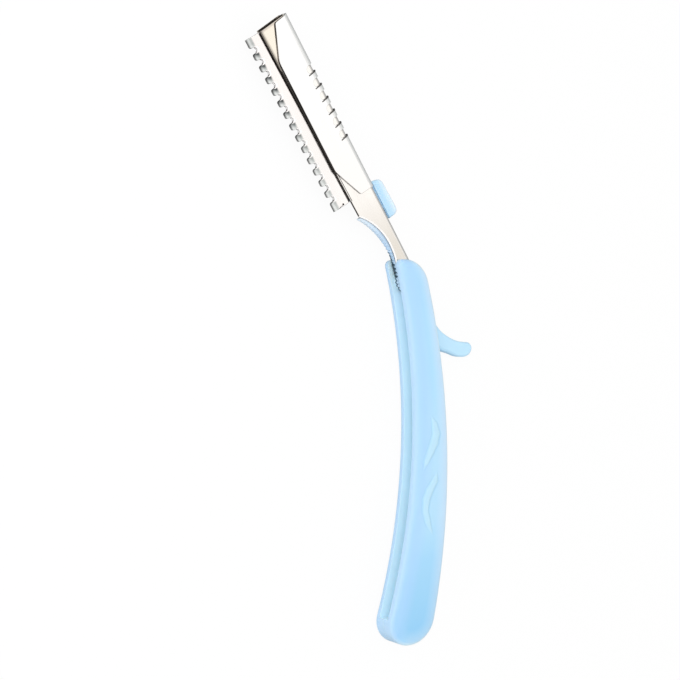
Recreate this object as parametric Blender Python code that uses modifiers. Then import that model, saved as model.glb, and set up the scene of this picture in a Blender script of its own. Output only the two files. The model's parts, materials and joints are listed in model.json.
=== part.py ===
"""Replaceable blade straight razor, lying open on its back half.

The handle is two moulded halves with a slot between them. The arm folds into
the slot about a pin: a plastic core with a thumb tail, a folded steel holder,
a notched steel cover round it, a comb guard, a blade and a sliding pusher.

Lengths are metres. The handle is drawn round the pivot, with X across it and
Y along it. The arm is drawn round the pivot as well, with +Y towards its tip
and +X towards its spine, and is then turned by ARM_ANGLE.
"""
import math

import bmesh
import bpy
from mathutils import Matrix, Vector

MM = 0.001

# Handle outline
HANDLE_THICKNESS = 12.4 * MM
HANDLE_TOP = 7.2 * MM
HANDLE_BOTTOM = 131.1 * MM
SLOT_EDGE_RADIUS = 230.0 * MM
SLOT_EDGE_APEX_X = 0.25 * MM
SLOT_EDGE_APEX_Y = -52.0 * MM
BACK_EDGE_RADIUS = 258.0 * MM
BACK_EDGE_APEX_X = 14.7 * MM
BACK_EDGE_APEX_Y = -67.0 * MM
TOP_SLOT_CORNER = 2.0 * MM
TOP_BACK_CORNER = 10.0 * MM
END_SLOT_CORNER = 8.0 * MM
END_BACK_CORNER = 11.0 * MM
END_FLAT = 0.5 * MM
HANDLE_EDGE_ROUND = 2.6 * MM

# Slot and the joint between the halves
SLOT_WIDTH = 5.2 * MM
WEB_THICKNESS = 2.2 * MM
END_BLOCK_HEIGHT = 9.6 * MM
PARTING_GAP = 0.3 * MM
DOWEL_RADIUS = 1.3 * MM
DOWEL_REACH = 1.8 * MM
DOWEL_SPACING = 9.0 * MM
DOWEL_HEIGHT = 4.6 * MM
CUT_MARGIN = 6.0 * MM

# Pivot
PIN_RADIUS = 1.5 * MM
PIN_SOCKET_DEPTH = 2.2 * MM
PIN_CLEARANCE = 0.25 * MM
PAD_RADIUS = 3.8 * MM
PAD_CLEARANCE = 0.35 * MM

# Arm
ARM_ANGLE = math.radians(32.2)
SPINE_X = 4.2 * MM
SHEET_HALF_HEIGHT = 1.8 * MM
HOLDER_SHEET = 0.45 * MM
HOLDER_TIP_REACH = 0.6 * MM
HOLDER_TIP_SLANT = math.radians(5.5)
HOLDER_EDGE_TIP_X = -8.9 * MM
HOLDER_EDGE_HEEL_X = -7.45 * MM
BACK_LEAF_TIP_X = -7.8 * MM
BACK_LEAF_HEEL_X = -6.3 * MM
HOLDER_HEEL_Y = 30.7 * MM
HOLDER_LIP_DROP = 0.35 * MM
NECK_APEX_X = -0.85 * MM
NECK_APEX_Y = 15.2 * MM
NECK_RADIUS = 20.4 * MM
NECK_END_Y = 7.5 * MM

# Cover
COVER_GAP = 0.15 * MM
COVER_SHEET = 0.35 * MM
COVER_TIP_SETBACK = 0.1 * MM
COVER_TIP_CORNER_X = -2.0 * MM
COVER_EDGE_X = -7.7 * MM
COVER_TIP_SLOPE_Y = 90.0 * MM
COVER_HEEL_SLOPE_Y = 48.0 * MM
COVER_HEEL_CORNER_X = -2.4 * MM
COVER_HEEL_Y = 36.4 * MM
NOTCH_COUNT = 6
NOTCH_PITCH = 4.96 * MM
NOTCH_FIRST_Y = 57.4 * MM
NOTCH_WIDTH = 2.7 * MM
NOTCH_DEPTH = 3.9 * MM

# Comb guard
GUARD_TIP_X = -14.3 * MM
GUARD_INNER_X = -6.1 * MM
GUARD_HALF_HEIGHT = 1.0 * MM
GUARD_SHEET = 0.4 * MM
GUARD_HEEL_Y = 36.1 * MM
GUARD_END_MARGIN = 1.8 * MM
GUARD_GAP_PITCH = 4.385 * MM
GUARD_GAP_WIDTH = 1.95 * MM
GUARD_GAP_DEPTH = 2.4 * MM
GUARD_CORNER = 1.3 * MM

# Blade
BLADE_LENGTH = 62.0 * MM
BLADE_WIDTH = 10.0 * MM
BLADE_THICKNESS = 0.3 * MM
BLADE_BEVEL = 1.0 * MM
BLADE_EXPOSURE = 0.3 * MM
BLADE_HEEL_GAP = 0.3 * MM
EDGE_LAND = 0.05 * MM

# Core and thumb tail
CORE_CLEARANCE = 0.3 * MM
JIMP_ARC_APEX_X = -1.6 * MM
JIMP_ARC_APEX_Y = 12.8 * MM
JIMP_ARC_RADIUS = 27.0 * MM
BOSS_RADIUS = 4.8 * MM
JIMP_PITCH = 1.42 * MM
JIMP_DEPTH = 0.32 * MM
CORE_TOP_Y = 26.0 * MM
HORN_TOP_Y = 29.0 * MM
HORN_INNER_X = -3.6 * MM
TAIL_HALF_HEIGHT = 2.1 * MM
TAIL_EDGE_ROUND = 1.0 * MM
TAIL_SPINE_SIDE = ((1.25, -13.2), (1.25, -16.5), (1.4, -19.8), (2.2, -23.4), (4.1, -27.0), (6.45, -30.05))
TAIL_TIP = ((9.2, -32.35), (10.4, -33.2), (10.95, -34.7), (10.35, -36.2), (8.6, -37.2), (6.6, -37.0))
TAIL_EDGE_SIDE = (
    (4.9, -36.1), (3.1, -34.6), (0.9, -31.95), (-1.1, -29.8), (-2.65, -27.4), (-3.75, -24.2),
    (-4.15, -20.5), (-4.15, -16.8),
)
TAIL_STOP_GAP = 0.3 * MM
BOSS_CUT_GAP = 0.4 * MM
BOSS_LAYER = 1.15 * MM

# Blade pusher
PUSHER_HALF_HEIGHT = 0.9 * MM
PUSHER_HEEL_GAP = 0.8 * MM
PUSHER_HEAD_X = -5.6 * MM
PUSHER_BODY_X = -2.9 * MM
PUSHER_HEAD_LENGTH = 5.2 * MM
PUSHER_TRAVEL = 7.0 * MM
STEM_HALF_HEIGHT = 0.6 * MM
STEM_HEEL_Y = 27.2 * MM
STEM_LENGTH = 6.8 * MM
STEM_CLEARANCE = 0.3 * MM
TAB_FOOT_GAP = 0.3 * MM
TAB_HEEL_X = 9.45 * MM
TAB_TIP_X = 8.85 * MM
TAB_HALF_HEIGHT = 1.2 * MM
TAB_HEEL_Y = 22.9 * MM
TAB_FOOT_LENGTH = 15.0 * MM
TAB_HEEL_SETBACK = 0.2 * MM
TAB_TIP_SETBACK = 1.0 * MM
TAB_CORNER = 2.2 * MM
TAB_EDGE_ROUND = 0.7 * MM

# Smoothness of round stretches
ARC_STEP = math.radians(12)
FOLD_SEGMENTS = 8
EDGE_SEGMENTS = 4
TAIL_STEPS = 3
HOLE_SEGMENTS = 32

SLOT_HALF = SLOT_WIDTH / 2
HALF_THICKNESS = HANDLE_THICKNESS / 2
HOLDER_MID = SHEET_HALF_HEIGHT - HOLDER_SHEET / 2
HOLDER_INNER = SHEET_HALF_HEIGHT - HOLDER_SHEET
HOLDER_FOLD_X = SPINE_X - SHEET_HALF_HEIGHT
COVER_INNER = SHEET_HALF_HEIGHT + COVER_GAP
COVER_OUTER = COVER_INNER + COVER_SHEET
COVER_SPINE_X = SPINE_X + COVER_GAP + COVER_SHEET
GUARD_TIP_Y = GUARD_HEEL_Y + BLADE_LENGTH + 2 * GUARD_END_MARGIN
GUARD_GAP_COUNT = round((GUARD_TIP_Y - GUARD_HEEL_Y) / GUARD_GAP_PITCH) - 1
HOLDER_TIP_Y = GUARD_TIP_Y + HOLDER_TIP_REACH
COVER_TIP_Y = HOLDER_TIP_Y - COVER_TIP_SETBACK
PUSHER_HEEL_Y = CORE_TOP_Y + PUSHER_HEEL_GAP
BLADE_EDGE_X = GUARD_TIP_X + GUARD_GAP_DEPTH - BLADE_EXPOSURE
BLADE_HEEL_Y = GUARD_HEEL_Y + GUARD_END_MARGIN
PUSHER_TIP_Y = BLADE_HEEL_Y - BLADE_HEEL_GAP
STEM_TIP_Y = STEM_HEEL_Y + STEM_LENGTH
JIMP_ARC_CENTRE = Vector((JIMP_ARC_APEX_X - JIMP_ARC_RADIUS, JIMP_ARC_APEX_Y))


def clear_scene():
    for existing in list(bpy.data.objects):
        bpy.data.objects.remove(existing, do_unlink=True)


def new_collection(name):
    collection = bpy.data.collections.new(name)
    bpy.context.scene.collection.children.link(collection)
    return collection


def new_material(name, colour, roughness, metallic):
    material = bpy.data.materials.new(name)
    material.use_nodes = True
    shader = material.node_tree.nodes["Principled BSDF"]
    shader.inputs["Base Color"].default_value = (*colour, 1.0)
    shader.inputs["Roughness"].default_value = roughness
    shader.inputs["Metallic"].default_value = metallic
    return material


def arc(centre, radius, start, end):
    """Points along an arc, from one angle to the other."""
    count = max(2, math.ceil(abs(end - start) / ARC_STEP))
    points = []
    for step in range(count + 1):
        angle = start + (end - start) * step / count
        points.append(Vector((centre[0] + radius * math.cos(angle), centre[1] + radius * math.sin(angle))))
    return points


def long_arc(centre, radius, start, end, count):
    """Points inside a long shallow arc, without its two ends."""
    points = []
    for step in range(1, count):
        angle = start + (end - start) * step / count
        points.append(Vector((centre[0] + radius * math.cos(angle), centre[1] + radius * math.sin(angle))))
    return points


def rounded(corners):
    """A closed outline of straight sides; each corner is (x, y, radius)."""
    points = []
    for index, (x, y, radius) in enumerate(corners):
        here = Vector((x, y))
        before = Vector(corners[index - 1][:2]) - here
        after = Vector(corners[(index + 1) % len(corners)][:2]) - here
        if radius == 0:
            points.append(here)
            continue
        half = before.angle(after) / 2
        reach = radius / math.tan(half)
        centre = here + (before.normalized() + after.normalized()).normalized() * radius / math.sin(half)
        first = here + before.normalized() * reach - centre
        last = here + after.normalized() * reach - centre
        start = math.atan2(first.y, first.x)
        turn = math.atan2(last.y, last.x) - start
        turn = (turn + math.pi) % math.tau - math.pi
        points += arc(centre, radius, start, start + turn)
    return points


def prism(name, outlines, low, high):
    """A solid between two heights over one or more closed outlines."""
    curve = bpy.data.curves.new(name, "CURVE")
    curve.dimensions = "2D"
    curve.fill_mode = "BOTH"
    curve.extrude = (high - low) / 2
    for outline in outlines:
        spline = curve.splines.new("POLY")
        spline.points.add(len(outline) - 1)
        for point, place in zip(spline.points, outline):
            point.co = (place[0], place[1], 0, 1)
        spline.use_cyclic_u = True
    drawn = bpy.data.objects.new(name + "_outline", curve)
    bpy.context.scene.collection.objects.link(drawn)
    drawn.location.z = (low + high) / 2
    bpy.context.view_layer.update()
    solid = bpy.data.objects.new(name, meshed(drawn))
    bpy.data.objects.remove(drawn, do_unlink=True)
    return solid


def meshed(drawn):
    """The mesh of a curve object, with its caps welded, where the curve lies."""
    evaluated = drawn.evaluated_get(bpy.context.evaluated_depsgraph_get())
    mesh = bpy.data.meshes.new_from_object(evaluated)
    mesh.transform(drawn.matrix_world)
    edit_mesh(mesh, lambda bm: bmesh.ops.remove_doubles(bm, verts=bm.verts, dist=0.001 * MM))
    return mesh


def edit_mesh(mesh, edit):
    bm = bmesh.new()
    bm.from_mesh(mesh)
    edit(bm)
    bm.to_mesh(mesh)
    bm.free()


def round_edges(solid, heights, radius, segments=EDGE_SEGMENTS):
    """Round the outline edges that lie at the given heights."""

    def edit(bm):
        edges = []
        for edge in bm.edges:
            for height in heights:
                level = all(abs(v.co.z - height) < 0.01 * MM for v in edge.verts)
                if level and edge.calc_face_angle(0) > math.radians(45):
                    edges.append(edge)
        bmesh.ops.bevel(bm, geom=edges, offset=radius, segments=segments, profile=0.5, affect="EDGES")

    edit_mesh(solid.data, edit)


def cylinder(name, radius, low, high, centre=(0, 0)):
    mesh = bpy.data.meshes.new(name)

    def edit(bm):
        place = Matrix.Translation((centre[0], centre[1], (low + high) / 2))
        bmesh.ops.create_cone(bm, cap_ends=True, segments=HOLE_SEGMENTS, radius1=radius,
                              radius2=radius, depth=high - low, matrix=place)

    edit_mesh(mesh, edit)
    return bpy.data.objects.new(name, mesh)


def folded_sheet(name, section_at, low, high, thickness):
    """A bent sheet: one section curve, whose shape may change along Y."""
    mesh = bpy.data.meshes.new(name)
    near = section_at(low)
    far = section_at(high)
    verts = [(x, low, z) for x, z in near] + [(x, high, z) for x, z in far]
    count = len(near)
    faces = [(i, i + 1, count + i + 1, count + i) for i in range(count - 1)]
    mesh.from_pydata(verts, [], faces)
    sheet = bpy.data.objects.new(name, mesh)
    solidify = sheet.modifiers.new("sheet thickness", "SOLIDIFY")
    solidify.thickness = thickness
    solidify.offset = 0
    solidify.use_even_offset = True
    return sheet


def fold_points(centre_x, radius, towards):
    """Half a turn in X and Z, from the front leaf round to the back leaf."""
    points = []
    for step in range(FOLD_SEGMENTS + 1):
        angle = math.pi / 2 - math.pi * step / FOLD_SEGMENTS
        points.append((centre_x + towards * radius * math.cos(angle), radius * math.sin(angle)))
    return points


def lip_points(edge_x, height, drop):
    """A leaf's free edge, rolled down by a quarter turn, ending on the leaf."""
    points = []
    for step in range(4):
        angle = math.pi - math.pi / 2 * step / 3
        points.append((edge_x + drop * (1 + math.cos(angle)), height - drop + drop * math.sin(angle)))
    return points


class Razor:
    """Collects the parts and the cutters and places them."""

    def __init__(self):
        self.parts = new_collection("replaceable_blade_straight_razor")
        self.cutters = new_collection("cutters")
        self.root = self.empty("razor", None)
        self.arm = self.empty("arm_pivot", self.root)
        self.arm.rotation_euler.z = ARM_ANGLE
        self.pusher = self.empty("pusher_slide", self.arm)
        self.guard = self.empty("guard_slide", self.arm)
        self.blade = self.empty("blade_slide", self.pusher)

    def empty(self, name, parent):
        holder = bpy.data.objects.new(name, None)
        holder.empty_display_size = 5 * MM
        self.parts.objects.link(holder)
        holder.parent = parent
        return holder

    def add(self, solid, name, parent, material):
        solid.name = name
        solid.parent = parent
        solid.data.materials.append(material)
        self.parts.objects.link(solid)
        solid.data.shade_smooth()
        solid.data.set_sharp_from_angle(angle=math.radians(30))
        return solid

    def boolean(self, solid, operation, cutter, parent):
        cutter.parent = parent
        cutter.hide_render = True
        cutter.display_type = "WIRE"
        self.cutters.objects.link(cutter)
        modifier = solid.modifiers.new(cutter.name, "BOOLEAN")
        modifier.operation = operation
        modifier.object = cutter
        modifier.solver = "EXACT"

    def cut(self, solid, cutter, parent):
        self.boolean(solid, "DIFFERENCE", cutter, parent)

    def join(self, solid, cutter, parent):
        self.boolean(solid, "UNION", cutter, parent)

    def keep(self, solid, cutter, parent):
        self.boolean(solid, "INTERSECT", cutter, parent)


def slot_circle():
    return Vector((SLOT_EDGE_APEX_X - SLOT_EDGE_RADIUS, SLOT_EDGE_APEX_Y))


def back_circle():
    return Vector((BACK_EDGE_APEX_X - BACK_EDGE_RADIUS, BACK_EDGE_APEX_Y))


def fillet_centre(circle, reach, y):
    """The point at a height that lies the given distance from a circle's centre."""
    return Vector((circle.x + math.sqrt(reach ** 2 - (y - circle.y) ** 2), y))


def direction(start, end):
    return math.atan2(end.y - start.y, end.x - start.x)


def end_corners():
    """The end's two corner radii, reduced alike where the end is too narrow for both."""
    height = END_SLOT_CORNER - HANDLE_BOTTOM
    slot_x = fillet_centre(slot_circle(), SLOT_EDGE_RADIUS, height).x
    back_x = fillet_centre(back_circle(), BACK_EDGE_RADIUS, height).x
    share = min(1, (back_x - slot_x - END_FLAT) / (END_SLOT_CORNER + END_BACK_CORNER))
    return END_SLOT_CORNER * share, END_BACK_CORNER * share


def handle_outline():
    """Clockwise from the top corner on the slot's side."""
    left = slot_circle()
    right = back_circle()
    slot_corner, back_corner = end_corners()
    top_left = fillet_centre(left, SLOT_EDGE_RADIUS + TOP_SLOT_CORNER, HANDLE_TOP - TOP_SLOT_CORNER)
    top_right = fillet_centre(right, BACK_EDGE_RADIUS - TOP_BACK_CORNER, HANDLE_TOP - TOP_BACK_CORNER)
    end_left = fillet_centre(left, SLOT_EDGE_RADIUS + slot_corner, slot_corner - HANDLE_BOTTOM)
    end_right = fillet_centre(right, BACK_EDGE_RADIUS - back_corner, back_corner - HANDLE_BOTTOM)
    points = arc(top_left, TOP_SLOT_CORNER, math.pi + direction(left, top_left), math.pi / 2)
    points += arc(top_right, TOP_BACK_CORNER, math.pi / 2, direction(right, top_right))
    points += long_arc(right, BACK_EDGE_RADIUS, direction(right, top_right), direction(right, end_right), 16)
    points += arc(end_right, back_corner, direction(right, end_right), -math.pi / 2)
    points += arc(end_left, slot_corner, -math.pi / 2, direction(left, end_left) - math.pi)
    points += long_arc(left, SLOT_EDGE_RADIUS, direction(left, end_left), direction(left, top_left), 16)
    return points


def slot_outline():
    """The slot between the halves: open at the top and along the curved edge."""
    right = back_circle()
    floor_radius = BACK_EDGE_RADIUS - WEB_THICKNESS
    slot_end = END_BLOCK_HEIGHT - HANDLE_BOTTOM
    low = math.asin((slot_end - right.y) / floor_radius)
    high = math.asin((HANDLE_TOP + CUT_MARGIN - right.y) / floor_radius)
    outside = SLOT_EDGE_APEX_X - 4 * CUT_MARGIN
    points = [Vector((outside, slot_end)), fillet_centre(right, floor_radius, slot_end)]
    points += long_arc(right, floor_radius, low, high, 18)
    points += [fillet_centre(right, floor_radius, HANDLE_TOP + CUT_MARGIN)]
    points += [Vector((outside, HANDLE_TOP + CUT_MARGIN))]
    return points


def curve(places, steps):
    """A smooth line through the places, which are in millimetres."""
    points = [Vector(place) * MM for place in places]
    line = []
    for index in range(len(points) - 1):
        before, start, end = points[max(index - 1, 0)], points[index], points[index + 1]
        after = points[min(index + 2, len(points) - 1)]
        for step in range(steps):
            share = step / steps
            bend = (2 * before - 5 * start + 4 * end - after) * share ** 2
            twist = (3 * start - before - 3 * end + after) * share ** 3
            line.append((2 * start + (end - before) * share + bend + twist) / 2)
    return line + [points[-1]]


def tail_sweep_outline():
    """The room on the open back of the handle through which the tail swings."""
    turn = Matrix.Rotation(ARM_ANGLE, 2)
    side = curve(TAIL_TIP[-1:] + TAIL_EDGE_SIDE, TAIL_STEPS)
    line = [Vector((side[-1].x, 0))] + side[::-1]
    points = []
    for index, point in enumerate(line):
        along = (line[min(index + 1, len(line) - 1)] - line[max(index - 1, 0)]).normalized()
        points.append(turn @ (point + Vector((along.y, -along.x)) * TAIL_STOP_GAP))
    far_x = BACK_EDGE_APEX_X + 4 * CUT_MARGIN
    points += [Vector((far_x, points[-1].y)), Vector((far_x, HANDLE_TOP + CUT_MARGIN))]
    points += [Vector((points[0].x, HANDLE_TOP + CUT_MARGIN))]
    return points


def dowel_places():
    middle = (slot_circle().x + SLOT_EDGE_RADIUS + back_circle().x + BACK_EDGE_RADIUS) / 2
    height = DOWEL_HEIGHT - HANDLE_BOTTOM
    sag = (height - BACK_EDGE_APEX_Y) ** 2 / (BACK_EDGE_RADIUS + SLOT_EDGE_RADIUS)
    centre = middle - sag
    return [(centre - DOWEL_SPACING / 2, height), (centre + DOWEL_SPACING / 2, height)]


def handle_half(razor, name, side, material):
    """One moulded half; side is 1 for the front half and -1 for the back one."""
    inner = side * PARTING_GAP / 2
    outer = side * HALF_THICKNESS
    half = prism(name, [handle_outline()], min(inner, outer), max(inner, outer))
    round_edges(half, [outer], HANDLE_EDGE_ROUND)
    half = razor.add(half, name, razor.root, material)
    slot = prism(name + "_slot", [slot_outline()], -SLOT_HALF, SLOT_HALF)
    razor.cut(half, slot, razor.root)
    sweep = prism(name + "_tail_room", [tail_sweep_outline()], -SLOT_HALF, SLOT_HALF)
    razor.cut(half, sweep, razor.root)
    pad_face = SHEET_HALF_HEIGHT + PAD_CLEARANCE
    pad_root = SLOT_HALF + HANDLE_EDGE_ROUND / 4
    pad_ends = sorted((side * pad_face, side * pad_root))
    pad = cylinder(name + "_pivot_pad", PAD_RADIUS, *pad_ends)
    razor.join(half, pad, razor.root)
    socket_ends = sorted((0, side * (SLOT_HALF + PIN_SOCKET_DEPTH + PIN_CLEARANCE)))
    socket = cylinder(name + "_pin_socket", PIN_RADIUS + PIN_CLEARANCE, *socket_ends)
    razor.cut(half, socket, razor.root)
    return half


def handle_halves(razor, material):
    front = handle_half(razor, "handle_front_half", 1, material)
    back = handle_half(razor, "handle_back_half", -1, material)
    for number, place in enumerate(dowel_places()):
        root_z = -PARTING_GAP / 2 - DOWEL_REACH
        dowel = cylinder(f"dowel_{number}", DOWEL_RADIUS, root_z, DOWEL_REACH, place)
        razor.join(back, dowel, razor.root)
        hole_top = DOWEL_REACH + PARTING_GAP
        hole = cylinder(f"dowel_hole_{number}", DOWEL_RADIUS + PARTING_GAP, -PARTING_GAP, hole_top, place)
        razor.cut(front, hole, razor.root)


def pivot_pin(razor, material):
    reach = SLOT_HALF + PIN_SOCKET_DEPTH
    pin = cylinder("pivot_pin", PIN_RADIUS, -reach, reach)
    razor.add(pin, "pivot_pin", razor.root, material)


def holder_outline():
    """The flat leaf: tip, heel of the blade bed, hollow neck and pivot end."""
    neck = Vector((NECK_APEX_X - NECK_RADIUS, NECK_APEX_Y))
    outside = GUARD_TIP_X
    spine_side = SPINE_X + CUT_MARGIN
    slope = math.tan(HOLDER_TIP_SLANT)
    points = []
    for x in (spine_side, outside):
        points.append(Vector((x, HOLDER_TIP_Y + (x - HOLDER_EDGE_TIP_X) * slope)))
    points += [Vector((outside, HOLDER_HEEL_Y))]
    start = math.asin((HOLDER_HEEL_Y - neck.y) / NECK_RADIUS)
    end = math.asin((NECK_END_Y - neck.y) / NECK_RADIUS)
    count = 14
    for step in range(count + 1):
        angle = start + (end - start) * step / count
        points.append(neck + NECK_RADIUS * Vector((math.cos(angle), math.sin(angle))))
    points += arc((0, 0), SPINE_X, math.pi, 1.75 * math.pi)
    points += [Vector((spine_side, -SPINE_X / math.sqrt(2)))]
    return points


def holder_section(y):
    """The holder's folded section; its free edges taper towards the heel."""
    share = (y - HOLDER_HEEL_Y) / (HOLDER_TIP_Y - HOLDER_HEEL_Y)
    front_edge = HOLDER_EDGE_HEEL_X + (HOLDER_EDGE_TIP_X - HOLDER_EDGE_HEEL_X) * share
    back_edge = BACK_LEAF_HEEL_X + (BACK_LEAF_TIP_X - BACK_LEAF_HEEL_X) * share
    front = lip_points(front_edge + HOLDER_SHEET / 2, HOLDER_MID, HOLDER_LIP_DROP)
    back = lip_points(back_edge + HOLDER_SHEET / 2, HOLDER_MID, HOLDER_LIP_DROP)
    back = [(x, -z) for x, z in reversed(back)]
    return front + fold_points(HOLDER_FOLD_X, HOLDER_MID, 1) + back


def blade_holder(razor, material):
    sheet = folded_sheet("blade_holder", holder_section, -SPINE_X - CUT_MARGIN,
                         HOLDER_TIP_Y + CUT_MARGIN, HOLDER_SHEET)
    sheet = razor.add(sheet, "blade_holder", razor.arm, material)
    reach = COVER_OUTER + CUT_MARGIN
    razor.keep(sheet, prism("holder_outline", [holder_outline()], -reach, reach), razor.arm)
    slot_half = STEM_HALF_HEIGHT + STEM_CLEARANCE
    razor.cut(sheet, stem_slot("holder_stem_slot", slot_half), razor.arm)
    hole = cylinder("holder_pin_hole", PIN_RADIUS + PIN_CLEARANCE, -reach, reach)
    razor.cut(sheet, hole, razor.arm)


def stem_slot(name, half_width):
    """The slot in the spine that the pusher's stem slides along."""
    start = STEM_HEEL_Y - STEM_CLEARANCE
    end = STEM_TIP_Y + PUSHER_TRAVEL + STEM_CLEARANCE
    far = SPINE_X + CUT_MARGIN
    outline = [(HOLDER_FOLD_X, start), (far, start), (far, end), (HOLDER_FOLD_X, end)]
    return prism(name, [outline], -half_width, half_width)


def cover_outline():
    spine_side = COVER_SPINE_X + CUT_MARGIN
    return rounded([
        (spine_side, COVER_TIP_Y, 0),
        (COVER_TIP_CORNER_X, COVER_TIP_Y, 1.2 * MM),
        (COVER_EDGE_X, COVER_TIP_SLOPE_Y, 6 * MM),
        (COVER_EDGE_X, COVER_HEEL_SLOPE_Y, 4 * MM),
        (COVER_HEEL_CORNER_X, COVER_HEEL_Y, 1.0 * MM),
        (spine_side, COVER_HEEL_Y, 0),
    ])


def cover_section(_y):
    mid = (COVER_INNER + COVER_OUTER) / 2
    edge = COVER_EDGE_X - CUT_MARGIN
    return [(edge, mid)] + fold_points(HOLDER_FOLD_X, mid, 1) + [(edge, -mid)]


def comb_gap(closed_x, open_x, y, width):
    """A slot with a round closed end, open towards open_x."""
    radius = width / 2
    sign = 1 if closed_x > open_x else -1
    centre = (closed_x - sign * radius, y)
    points = []
    for step in range(9):
        angle = math.pi / 2 - math.pi * step / 8
        points.append((centre[0] + sign * radius * math.cos(angle), y + radius * math.sin(angle)))
    return points + [(open_x, y - radius), (open_x, y + radius)]


def clamp_cover(razor, material):
    sheet = folded_sheet("clamp_cover", cover_section, COVER_HEEL_Y - CUT_MARGIN,
                         COVER_TIP_Y + CUT_MARGIN, COVER_SHEET)
    sheet = razor.add(sheet, "clamp_cover", razor.arm, material)
    reach = COVER_OUTER + CUT_MARGIN
    razor.keep(sheet, prism("cover_outline", [cover_outline()], -reach, reach), razor.arm)
    notch_end = COVER_SPINE_X - NOTCH_DEPTH
    notches = []
    for index in range(NOTCH_COUNT):
        y = NOTCH_FIRST_Y + index * NOTCH_PITCH
        notches.append(comb_gap(notch_end, COVER_SPINE_X + CUT_MARGIN, y, NOTCH_WIDTH))
    razor.cut(sheet, prism("cover_notches", notches, -reach, reach), razor.arm)
    slot_half = STEM_HALF_HEIGHT + STEM_CLEARANCE
    razor.cut(sheet, stem_slot("cover_stem_slot", slot_half), razor.arm)


def guard_outline():
    return rounded([
        (GUARD_TIP_X - CUT_MARGIN, GUARD_HEEL_Y, 0),
        (GUARD_INNER_X, GUARD_HEEL_Y, GUARD_CORNER),
        (GUARD_INNER_X, GUARD_TIP_Y, GUARD_CORNER),
        (GUARD_TIP_X - CUT_MARGIN, GUARD_TIP_Y, 0),
    ])


def guard_section(_y):
    mid = GUARD_HALF_HEIGHT - GUARD_SHEET / 2
    fold = fold_points(GUARD_TIP_X + GUARD_HALF_HEIGHT, mid, -1)
    inner = GUARD_INNER_X + CUT_MARGIN
    return [(inner, mid)] + fold + [(inner, -mid)]


def comb_guard(razor, material):
    sheet = folded_sheet("comb_guard", guard_section, GUARD_HEEL_Y - CUT_MARGIN,
                         GUARD_TIP_Y + CUT_MARGIN, GUARD_SHEET)
    sheet = razor.add(sheet, "comb_guard", razor.guard, material)
    reach = COVER_OUTER + CUT_MARGIN
    razor.keep(sheet, prism("guard_outline", [guard_outline()], -reach, reach), razor.guard)
    middle = (GUARD_HEEL_Y + GUARD_TIP_Y) / 2
    gaps = []
    for index in range(GUARD_GAP_COUNT):
        y = middle + (index - (GUARD_GAP_COUNT - 1) / 2) * GUARD_GAP_PITCH
        closed = GUARD_TIP_X + GUARD_GAP_DEPTH
        gaps.append(comb_gap(closed, GUARD_TIP_X - CUT_MARGIN, y, GUARD_GAP_WIDTH))
    razor.cut(sheet, prism("guard_gaps", gaps, -reach, reach), razor.guard)


def razor_blade(razor, material):
    """A flat strip, ground to a narrow edge, drawn as a section and turned along Y."""
    half = BLADE_THICKNESS / 2
    edge = BLADE_EDGE_X
    section = [
        (edge, EDGE_LAND / 2), (edge + BLADE_BEVEL, half), (edge + BLADE_WIDTH, half),
        (edge + BLADE_WIDTH, -half), (edge + BLADE_BEVEL, -half), (edge, -EDGE_LAND / 2),
    ]
    heel = BLADE_HEEL_Y
    blade = prism("razor_blade", [section], -heel - BLADE_LENGTH, -heel)
    blade.data.transform(Matrix.Rotation(math.pi / 2, 4, "X"))
    razor.add(blade, "razor_blade", razor.blade, material)


def circles_meet(centre, radius, boss_radius):
    """Where a circle first meets the boss circle round the pivot, seen from above."""
    reach = centre.length
    along = (reach ** 2 - radius ** 2 + boss_radius ** 2) / (2 * reach)
    aside = math.sqrt(boss_radius ** 2 - along ** 2)
    unit = centre / reach
    return unit * along + Vector((unit.y, -unit.x)) * aside


def core_outline():
    """The flat insert: ridged hollow edge, boss round the pin, straight spine side."""
    arc_top = math.asin((HORN_TOP_Y - JIMP_ARC_CENTRE.y) / JIMP_ARC_RADIUS)
    boss_meeting = circles_meet(JIMP_ARC_CENTRE, JIMP_ARC_RADIUS, BOSS_RADIUS)
    arc_low = direction(JIMP_ARC_CENTRE, boss_meeting)
    count = round(JIMP_ARC_RADIUS * (arc_top - arc_low) / JIMP_PITCH)
    points = []
    per_ridge = 5
    for step in range(count * per_ridge + 1):
        angle = arc_top + (arc_low - arc_top) * step / (count * per_ridge)
        phase = abs(math.sin(math.pi * step / per_ridge))
        radius = JIMP_ARC_RADIUS + JIMP_DEPTH * (1 - phase)
        points.append(JIMP_ARC_CENTRE + radius * Vector((math.cos(angle), math.sin(angle))))
    boss_start = direction(Vector((0, 0)), boss_meeting)
    boss_end = math.tau - math.acos(HOLDER_FOLD_X / BOSS_RADIUS)
    points += arc((0, 0), BOSS_RADIUS, boss_start, boss_end)[1:]
    points += [Vector((HOLDER_FOLD_X, CORE_TOP_Y)), Vector((HORN_INNER_X, CORE_TOP_Y))]
    points += [Vector((HORN_INNER_X, HORN_TOP_Y))]
    return points


def tail_outline():
    """The curved thumb tail: widest where it leaves the handle, round at its tip."""
    points = curve(TAIL_SPINE_SIDE + TAIL_TIP + TAIL_EDGE_SIDE, TAIL_STEPS)
    return [Vector((points[0].x, 0))] + points + [Vector((points[-1].x, 0))]


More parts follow.
